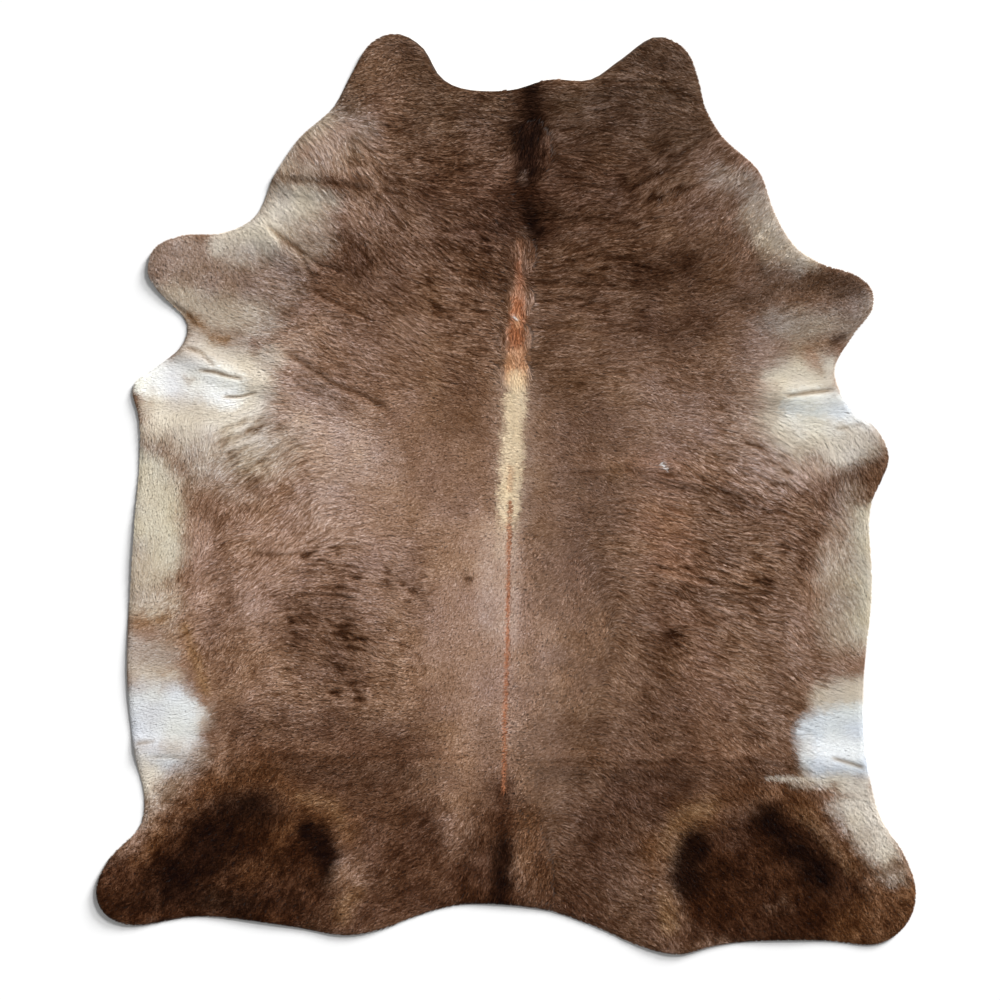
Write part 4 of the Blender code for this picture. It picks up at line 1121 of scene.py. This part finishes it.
def suede_material(settings, name, darker):
    """Flesh side or cut edge: buffed suede with loose fibres and cloudy tone."""
    material, nodes, links, shader = node_tree(name)
    fibres = object_noise(nodes, links, 700, 4, (1, 2.6, 1))
    clouds = object_noise(nodes, links, 7, 3)
    suede = [c * darker for c in settings.suede]
    tones = two_tones(nodes, links, scaled(nodes, links, clouds, 0, 1), suede, 0.8)
    shade = scaled(nodes, links, fibres, 0.82, 1.1)
    links.new(shaded(nodes, links, tones, shade), shader.inputs["Base Color"])
    links.new(scaled(nodes, links, fibres, 0.98, 0.84), shader.inputs["Roughness"])
    bumped(nodes, links, shader, fibres, 0.6, 0.5 * MM)
    return material


def refine(bm, wanted, longest):
    """Splits the edges longer than longest where wanted says so."""
    edges = [
        e for e in bm.edges
        if e.calc_length() > longest and wanted((e.verts[0].co + e.verts[1].co) / 2)
    ]
    bmesh.ops.subdivide_edges(bm, edges=edges, cuts=1, use_grid_fill=True)
    bmesh.ops.triangulate(bm, faces=[f for f in bm.faces if len(f.verts) > 3])


def sort_faces(bm, top):
    """Gives the grain side, the flesh side and the cut edge their materials and sharp rims."""
    for face in bm.faces:
        face.smooth = True
        on_top = sum(v in top for v in face.verts)
        face.material_index = 0 if on_top == 3 else 1 if on_top == 0 else 2
    for edge in bm.edges:
        edge.smooth = len({f.material_index for f in edge.link_faces}) == 1


def leather_mesh(settings):
    """The hide's sheet of leather: CAD outline and folds, creases pressed in, cut edge."""
    heights, under, _ = hide_survey()
    raster, _ = coat_fields(settings.seed)
    lift, _ = crease_fields(raster, settings.seed)
    near_crease = blurred(np.abs(lift), 6) > NEAR_CREASE
    bm = hide_bmesh()
    rest = [f for f in bm.faces if f.normal.z < 0.5]
    bmesh.ops.delete(bm, geom=rest, context="FACES")
    refine(bm, lambda p: True, 0)

    def creased(p):
        column = round((p.x - raster.west) / raster.pitch)
        row = round((p.y - raster.south) / raster.pitch)
        return near_crease[row, column]

    for longest in CREASE_EDGES:
        refine(bm, creased, longest)
    flat = np.array([v.co.xy[:] for v in bm.verts], np.float32)
    folds = heights.read(under, flat[:, 0], flat[:, 1])
    creases = settings.crease_depth * raster.read(lift, flat[:, 0], flat[:, 1])
    for vertex, fold, crease in zip(bm.verts, folds, creases):
        vertex.co.z = max(fold + crease, 0)
    bmesh.ops.reverse_faces(bm, faces=bm.faces)
    sheet = bm.faces[:]
    raised = bmesh.ops.extrude_face_region(bm, geom=sheet)["geom"]
    top = {v for v in raised if isinstance(v, bmesh.types.BMVert)}
    for vertex in top:
        vertex.co.z += settings.leather_thickness
    bmesh.ops.recalc_face_normals(bm, faces=bm.faces)
    sort_faces(bm, top)
    mesh = bpy.data.meshes.new(LEATHER)
    bm.to_mesh(mesh)
    bm.free()
    return mesh


def vertex_places(mesh):
    """The mesh's vertices as an array."""
    places = np.empty(3 * len(mesh.vertices), np.float32)
    mesh.vertices.foreach_get("co", places)
    return places.reshape(-1, 3)


def lock_roots(settings, rng):
    """Roots of the locks on a loosened square grid, all inside the rim."""
    heights, _, rim = hide_survey()
    step = settings.lock_spacing
    low, high = cad_box
    x, y = np.meshgrid(np.arange(low[0], high[0], step), np.arange(low[1], high[1], step))
    x = (x + rng.uniform(-0.5, 0.5, x.shape) * step).ravel().astype(np.float32)
    y = (y + rng.uniform(-0.5, 0.5, y.shape) * step).ravel().astype(np.float32)
    kept = heights.read(rim, x, y) > RIM_CLEARANCE
    order = rng.permutation(kept.sum())
    return x[kept][order], y[kept][order]


class Coat:
    """The locks' four corners (root, left, right and tip) and their colours, with painted shade and
    light.
    """

    def __init__(self, settings):
        rng = np.random.default_rng(settings.seed + 1)
        self.settings = settings
        self.raster, self.fields = coat_fields(settings.seed)
        self.creases, self.crease_painted_shade = crease_fields(self.raster, settings.seed)
        self.heights, self.under, self.rim = hide_survey()
        x, y = lock_roots(settings, rng)
        count = len(x)
        ahead_x, ahead_y = self.ways(rng, x, y)
        length = self.lengths(rng, x, y, ahead_x, ahead_y)
        half = settings.lock_width / 2 * rng.uniform(*WIDTH_SPREAD, count)
        level = rng.uniform(-DEPTH_SPREAD, DEPTH_SPREAD, count)
        level = level * (0.3 + 0.7 * smoothstep(self.at("contrast", x, y) / 0.4))
        # where the coat lies smooth, the locks are broader and flatter and close their gaps
        sleek = self.sleek(x, y)
        half = half * (1 + SLEEK_BROADENING * sleek)
        self.places = np.empty((count, 4, 3), np.float32)
        for k, (along, side, depth) in enumerate(LOCK_CORNERS):
            px = x + along * length * ahead_x - side * half * ahead_y
            py = y + along * length * ahead_y + side * half * ahead_x
            self.places[:, k, 0] = px
            self.places[:, k, 1] = py
            flatter = SLEEK_FLATTENING * sleek * (LOCK_MIDDLE - depth)
            depth = depth + flatter + level * (along > 0)
            self.places[:, k, 2] = self.height(px, py, depth)
        self.colours = self.tinted(rng)

    def ways(self, rng, x, y):
        """The way in which each lock points, as x and y of length 1."""
        count = len(x)
        turn = np.radians(self.at("unruly", x, y)) * rng.standard_normal(count)
        ahead_x, ahead_y = self.at("way_x", x, y), self.at("way_y", x, y)
        # locks point away from the spine and down to the rump, and mix where that changes
        outward = np.tanh(x / SPINE_HALF) * ahead_x - RUMPWARD * ahead_y
        front = np.where(outward + rng.normal(0, FRONT_MIX, count) < 0, -1, 1)
        size = front * np.hypot(ahead_x, ahead_y)
        c, s = np.cos(turn) / size, np.sin(turn) / size
        return ahead_x * c - ahead_y * s, ahead_x * s + ahead_y * c

    def lengths(self, rng, x, y, ahead_x, ahead_y):
        """Length of each lock, cut short where it would reach too far past the rim."""
        length = self.at("length", x, y) * MM * rng.uniform(*LENGTH_SPREAD, len(x))
        length = length * self.settings.lock_length
        inside = self.heights.read(self.rim, x, y)
        over = self.heights.read(self.rim, x + length * ahead_x, y + length * ahead_y)
        too_far = over < -RIM_FRINGE
        share = np.where(too_far, (inside + RIM_FRINGE) / np.maximum(inside - over, 1e-5), 1)
        return length * np.clip(share, SHORTEST, 1)

    def at(self, key, x, y):
        """One of the coat's fields at some points."""
        return self.raster.read(self.fields[key], x, y)

    def sleek(self, x, y):
        """1 where the coat lies smooth, as on the white patches and rims, down to 0."""
        return 1 - smoothstep(self.at("contrast", x, y) / SLEEK_CONTRAST)

    def height(self, x, y, depth):
        """Height of a point of the coat, from 0 at the skin to 1 at its full depth."""
        settings = self.settings
        skin = self.heights.read(self.under, x, y) + settings.leather_thickness
        skin = skin + settings.crease_depth * self.raster.read(self.creases, x, y)
        inward = self.heights.read(self.rim, x, y)
        full = RIM_DEPTH + (1 - RIM_DEPTH) * smoothstep(inward / RIM_ROUNDING)
        drop = settings.leather_thickness * smoothstep(-inward / RIM_FRINGE)
        ripple = self.at("ripple_height", x, y) * MM * self.at("broad", x, y)
        ripple = ripple + FINE_RIPPLE * self.at("fine", x, y)
        ripple = ripple - GROOVE * self.at("contrast", x, y) * self.at("lines", x, y)
        coat = settings.coat_depth * depth + ripple * settings.ripple * depth
        return np.maximum(skin + full * np.maximum(coat, LEAST_COAT) - drop, LEAST_HEIGHT)

    def tinted(self, rng):
        """Colours of the corners: the coat's markings and mottles, painted shade and light on its
        ripples and creases, and painted shade at the roots and light at the tips.
        """
        settings = self.settings
        paint = paint_coat(self.raster, settings.colours, settings.seed)
        count = len(self.places)
        middle = self.places.mean(1)
        strays = rng.normal(0, STRAY, (2, count)).astype(np.float32)
        marking = self.raster.read(paint, middle[:, 0] + strays[0], middle[:, 1] + strays[1])
        bright = marking.mean(1)[:, None]
        pale = smoothstep(bright / PALE)
        single = rng.normal(0, 0.6, count)
        channels = np.array(TONE_CHANNELS, np.float32)
        warm_channels = np.array(WARM_CHANNELS, np.float32)
        colours = np.empty((count, 4, 4), np.float32)
        # painted shade at each lock's root and painted light at its tip
        for k, shade in enumerate(CORNER_PAINTED_SHADES):
            x, y = self.places[:, k, 0], self.places[:, k, 1]
            fine, lines = self.at("fine", x, y), self.at("lines", x, y)
            # painted light on the ripples' crests and painted shade in their troughs and grooves
            streak = STREAK_TONE * self.at("broad", x, y) + STREAK_TONE * fine
            streak = streak - LINE_SHADE * lines
            contrast = self.at("contrast", x, y)
            grain = settings.grain * (0.5 + contrast) * (single + 0.25 * fine)
            tone = contrast * streak + grain
            blotch = self.at("clouds", x, y) - SPOT_DARKENING * self.at("spots", x, y)
            tone = tone + self.at("mottle", x, y) * blotch
            tone = np.clip(tone, *TONE_LIMITS)[:, None] * (1 - PALE_TONE_LOSS * pale)
            # painted shade in the creases, and painted light where it is below 0
            tone = tone + np.log(1 - self.raster.read(self.crease_painted_shade, x, y))[:, None]
            warmth = 1 + self.at("warmth", x, y)[:, None] * warm_channels
            # a darker tone takes more blue than red, so darker hair is also warmer, and lighter
            # tones turn paler as with a painted sheen
            lit = marking * np.exp(tone * channels) * warmth * settings.brightness
            # painted shade on sleek hair, for the shade of the gaps that it closes
            lit = lit * (1 - SLEEK_PAINTED_SHADE * self.sleek(x, y))[:, None]
            shade = 1 - (1 - shade) * (1 - PALE_SHADE_LOSS * pale)
            colours[:, k, :3] = np.clip(lit * shade, 0.001, 0.93)
            rough = smoothstep(contrast / STRAND_CONTRAST)[:, None]
            rough = rough * (1 - STRAND_PALE_LOSS * smoothstep(bright / STRAND_PALE))
            strands = FEWEST_STRANDS + (1 - FEWEST_STRANDS) * rough
            colours[:, k, 3:] = strands * (1 - PALE_STRAND_LOSS * pale)
        return colours

    def pieces(self):
        """Name and rows of each piece's locks."""
        x, y = self.places[:, 0, 0], self.places[:, 0, 1]
        taken = np.zeros(len(x), bool)
        for name, low_x, low_y, high_x, high_y in COAT_PIECES:
            rows = (x >= low_x) & (x < high_x) & (y >= low_y) & (y < high_y) & ~taken
            taken |= rows
            yield name, rows


def lock_mesh(name, places, colours):
    """Joined locks: two triangles each, with a map along the lock and a map for each lock."""
    count = len(places)
    mesh = bpy.data.meshes.new(name)
    mesh.vertices.add(4 * count)
    mesh.vertices.foreach_set("co", places.ravel())
    first = 4 * np.arange(count, dtype=np.int32)[:, None]
    corners = (first + np.array(LOCK_TRIANGLES, np.int32)).ravel()
    mesh.loops.add(len(corners))
    mesh.loops.foreach_set("vertex_index", corners)
    mesh.polygons.add(2 * count)
    mesh.polygons.foreach_set("loop_start", 3 * np.arange(2 * count, dtype=np.int32))
    mesh.update(calc_edges=True)
    mesh.validate()
    mesh.shade_smooth()
    side = math.ceil(math.sqrt(count))
    cell = np.stack(np.divmod(np.arange(count), side)[::-1], 1)[:, None, :]
    for key, scale in (("OFBake", 1 / side), ("along_lock", 1.0)):
        layer = mesh.uv_layers.new(name=key)
        at = ((cell + np.array(CORNERS_ON_MAP)) * scale).reshape(-1, 2)[corners]
        layer.data.foreach_set("uv", at.astype(np.float32).ravel())
    paint_mesh(mesh, "hair_colour_and_shade", colours.reshape(-1, 4))
    return mesh


def clear(names):
    """Removes what an earlier run of an operator left."""
    for name in names:
        if name in bpy.data.objects:
            bpy.data.objects.remove(bpy.data.objects[name])


def aimed(obj, heading, height):
    """Turns a light so that it shines from a heading and a height above the floor."""
    obj.rotation_euler = (math.pi / 2 - height, 0, heading + math.pi / 2)


def share(name, description, default, most=1.0, least=0.0):
    """A setting that is a share."""
    return FloatProperty(
        name=name, description=description, default=default, min=least, max=most,
        subtype="FACTOR",
    )


def size_in_mm(name, description, default, least, most):
    """A setting that is a length, given in millimetres."""
    return FloatProperty(
        name=name, description=description, default=default * MM, min=least * MM,
        max=most * MM, unit="LENGTH",
    )


def angle(name, description, degrees):
    """A setting that is an angle."""
    return FloatProperty(
        name=name, description=description, default=math.radians(degrees), subtype="ANGLE",
        unit="ROTATION",
    )


class CoatColours(PropertyGroup):
    """Hair colours."""

    __annotations__ = {
        key: FloatVectorProperty(
            name=key.replace("_", " ").capitalize(), description=where,
            default=linear(screen), subtype="COLOR", min=0, max=1,
        )
        for key, (where, screen) in PALETTE.items()
    }


class HideSettings(PropertyGroup):
    """Sizes and colours of the leather and its coat."""

    leather_thickness: size_in_mm("Leather", "Thickness of the leather under the hair", 2.6, 1, 4)
    crease_depth: share("Creases", "Depth of the creases, as a share of their own", 1.0, 1.5)
    coat_depth: size_in_mm("Coat", "Depth of the coat as it lies", 3.4, 1, 5)
    lock_spacing: size_in_mm("Spacing", "Distance from one lock's root to the next", 2.82, 2, 20)
    lock_width: size_in_mm("Width", "Width of a lock of hair", 2.9, 1, 10)
    lock_length: share("Length", "Length of the locks, as a share of their own", 1.0, 1.5, 0.5)
    ripple: share("Ripples", "Height of the ripples in the coat, as a share of their own", 1.0, 1.5)
    grain: share("Grain", "How far single locks differ in tone", 0.78)
    brightness: FloatProperty(
        name="Brightness", description="Brightness of all the hair",
        default=1.315, min=0.3, max=2,
    )
    gloss: share("Gloss", "Strength of the hair's highlights", 0.05)
    suede: FloatVectorProperty(
        name="Suede", description="Colour of the flesh side",
        default=linear((205, 188, 164)), subtype="COLOR", min=0, max=1,
    )
    seed: IntProperty(
        name="Seed", description="Number that the scatter of the hair starts from",
        default=7, min=0,
    )
    colours: PointerProperty(type=CoatColours)


class StageSettings(PropertyGroup):
    """Floor, lights and camera."""

    floor: FloatVectorProperty(
        name="Floor", description="Colour of the floor",
        default=(0.92, 0.92, 0.92), subtype="COLOR", min=0, max=1,
    )
    key: FloatProperty(
        name="Key light", description="Strength of the key light", default=2.5, min=0,
    )
    key_height: angle("Key height", "Angle of the key light above the floor", 30)
    rake: FloatProperty(
        name="Raking light", description="Strength of the low light across the floor",
        default=6.0, min=0,
    )
    rake_height: angle("Rake height", "Angle of the raking light above the floor", 14)
    heading: angle("Heading", "Side from which the key and raking lights come", 48)
    softness: angle("Softness", "Width of these lights as the rug sees them", 14)
    fill: FloatProperty(
        name="Fill light", description="Strength of the light from all sides",
        default=0.27, min=0,
    )
    camera_height: FloatProperty(
        name="Camera", description="Height of the camera above the floor",
        default=5.787, min=1, unit="LENGTH",
    )
    lens: FloatProperty(
        name="Lens", description="Focal length of the camera",
        default=85, min=20, max=300, unit="CAMERA",
    )
    centre: FloatVectorProperty(
        name="Centre", description="Point of the floor in the middle of the picture",
        default=(-0.0147, -0.0147), size=2, subtype="TRANSLATION", unit="LENGTH",
    )


class RUG_OT_leather(Operator):
    """Lay the leather on the hide's folds, with its creases and cut edge"""

    bl_idname = "rug.leather"
    bl_label = "Leather"

    def execute(self, context):
        settings = context.scene.hide_settings
        clear([LEATHER])
        mesh = leather_mesh(settings)
        raster, _ = coat_fields(settings.seed)
        places = vertex_places(mesh)
        paint = paint_coat(raster, settings.colours, settings.seed)
        skin = settings.brightness * raster.read(paint, *places[:, :2].T)
        # the skin is painted darker under dark hair, as shade between the locks
        shade = SKIN_SHADE + (1 - SKIN_SHADE) * smoothstep(skin.mean(1, keepdims=True) / SKIN_PALE)
        paint_mesh(mesh, "skin_colour_and_shade", np.clip(skin * shade, 0.002, 0.93))
        leather = bpy.data.objects.new(LEATHER, mesh)
        suede = suede_material(settings, "suede", 1.0)
        edge = suede_material(settings, "cut_edge", 0.8)
        finish_piece(leather, (skin_material(), suede, edge))
        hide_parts(NODE)
        return {"FINISHED"}


class RUG_OT_coat(Operator):
    """Grow the coat of lying locks on the leather, in pieces that join without a gap"""

    bl_idname = "rug.coat"
    bl_label = "Coat"

    def execute(self, context):
        settings = context.scene.hide_settings
        clear([row[0] for row in COAT_PIECES])
        coat = Coat(settings)
        hair = hair_material(settings)
        for name, rows in coat.pieces():
            mesh = lock_mesh(name, coat.places[rows], coat.colours[rows])
            piece = bpy.data.objects.new(name, mesh)
            finish_piece(piece, (hair,))
        return {"FINISHED"}


def floor_material(settings):
    """Pale studio floor with a faint unevenness."""
    material, nodes, links, shader = node_tree("floor_paper")
    grain = object_noise(nodes, links, 3, 3)
    tones = two_tones(nodes, links, grain, settings.floor, 0.985)
    links.new(tones, shader.inputs["Base Color"])
    links.new(scaled(nodes, links, grain, 0.95, 0.85), shader.inputs["Roughness"])
    shader.inputs["Specular IOR Level"].default_value = 0.1
    return material


def lay_floor(scene, settings):
    """The pale floor just under the rug."""
    bm = bmesh.new()
    bmesh.ops.create_grid(bm, x_segments=1, y_segments=1, size=FLOOR_HALF)
    bmesh.ops.translate(bm, verts=bm.verts, vec=(0, 0, -FLOOR_DROP))
    mesh = bpy.data.meshes.new("floor")
    bm.to_mesh(mesh)
    bm.free()
    floor = bpy.data.objects.new("floor", mesh)
    scene.collection.objects.link(floor)
    mesh.materials.append(floor_material(settings))


def set_lights(scene, settings):
    """The key light, the low light that rakes over the hair, and light from all sides."""
    for name, strength, height in (
        ("key_light", settings.key, settings.key_height),
        ("raking_light", settings.rake, settings.rake_height),
    ):
        sun = bpy.data.lights.new(name, "SUN")
        sun.energy = strength
        sun.angle = settings.softness
        light = bpy.data.objects.new(name, sun)
        aimed(light, settings.heading, height)
        scene.collection.objects.link(light)
    world = bpy.data.worlds.new("fill_light")
    world.use_nodes = True
    background = world.node_tree.nodes["Background"]
    background.inputs["Color"].default_value = (1, 1, 1, 1)
    background.inputs["Strength"].default_value = settings.fill
    scene.world = world


def set_camera(scene, settings):
    """The camera straight above, and its plain view."""
    lens = bpy.data.cameras.new("camera")
    lens.lens = settings.lens
    lens.sensor_width = 36
    lens.clip_end = 100
    camera = bpy.data.objects.new("camera", lens)
    camera.location = (*settings.centre, settings.camera_height)
    scene.collection.objects.link(camera)
    scene.camera = camera
    scene.view_settings.view_transform = "Standard"
    scene.view_settings.look = "None"


class RUG_OT_stage(Operator):
    """Set up the pale floor, the soft light and the camera straight above"""

    bl_idname = "rug.stage"
    bl_label = "Stage"

    def execute(self, context):
        scene = context.scene
        clear(["floor", "key_light", "raking_light", "camera"])
        lay_floor(scene, scene.stage_settings)
        set_lights(scene, scene.stage_settings)
        set_camera(scene, scene.stage_settings)
        return {"FINISHED"}


class RUG_PT_panel(Panel):
    """Rug's panel in the sidebar."""

    bl_idname = "RUG_PT_panel"
    bl_label = "Cowhide rug"
    bl_space_type = "VIEW_3D"
    bl_region_type = "UI"
    bl_category = "Rug"

    def draw(self, context):
        groups = (
            (context.scene.hide_settings, (RUG_OT_leather, RUG_OT_coat)),
            (context.scene.hide_settings.colours, ()),
            (context.scene.stage_settings, (RUG_OT_stage,)),
        )
        for settings, operators in groups:
            box = self.layout.box()
            for key in settings.__annotations__:
                if key != "colours":
                    box.prop(settings, key)
            for operator in operators:
                box.operator(operator.bl_idname)


CLASSES = (
    CoatColours, HideSettings, StageSettings,
    RUG_OT_leather, RUG_OT_coat, RUG_OT_stage, RUG_PT_panel,
)


def register():
    for cls in CLASSES:
        bpy.utils.register_class(cls)
    bpy.types.Scene.hide_settings = PointerProperty(type=HideSettings)
    bpy.types.Scene.stage_settings = PointerProperty(type=StageSettings)


def unregister():
    del bpy.types.Scene.stage_settings
    del bpy.types.Scene.hide_settings
    for cls in reversed(CLASSES):
        bpy.utils.unregister_class(cls)


def main():
    """Makes the rug and its stage."""
    register()
    bpy.ops.rug.stage()
    bpy.ops.rug.leather()
    bpy.ops.rug.coat()


if __name__ == "__main__":
    main()
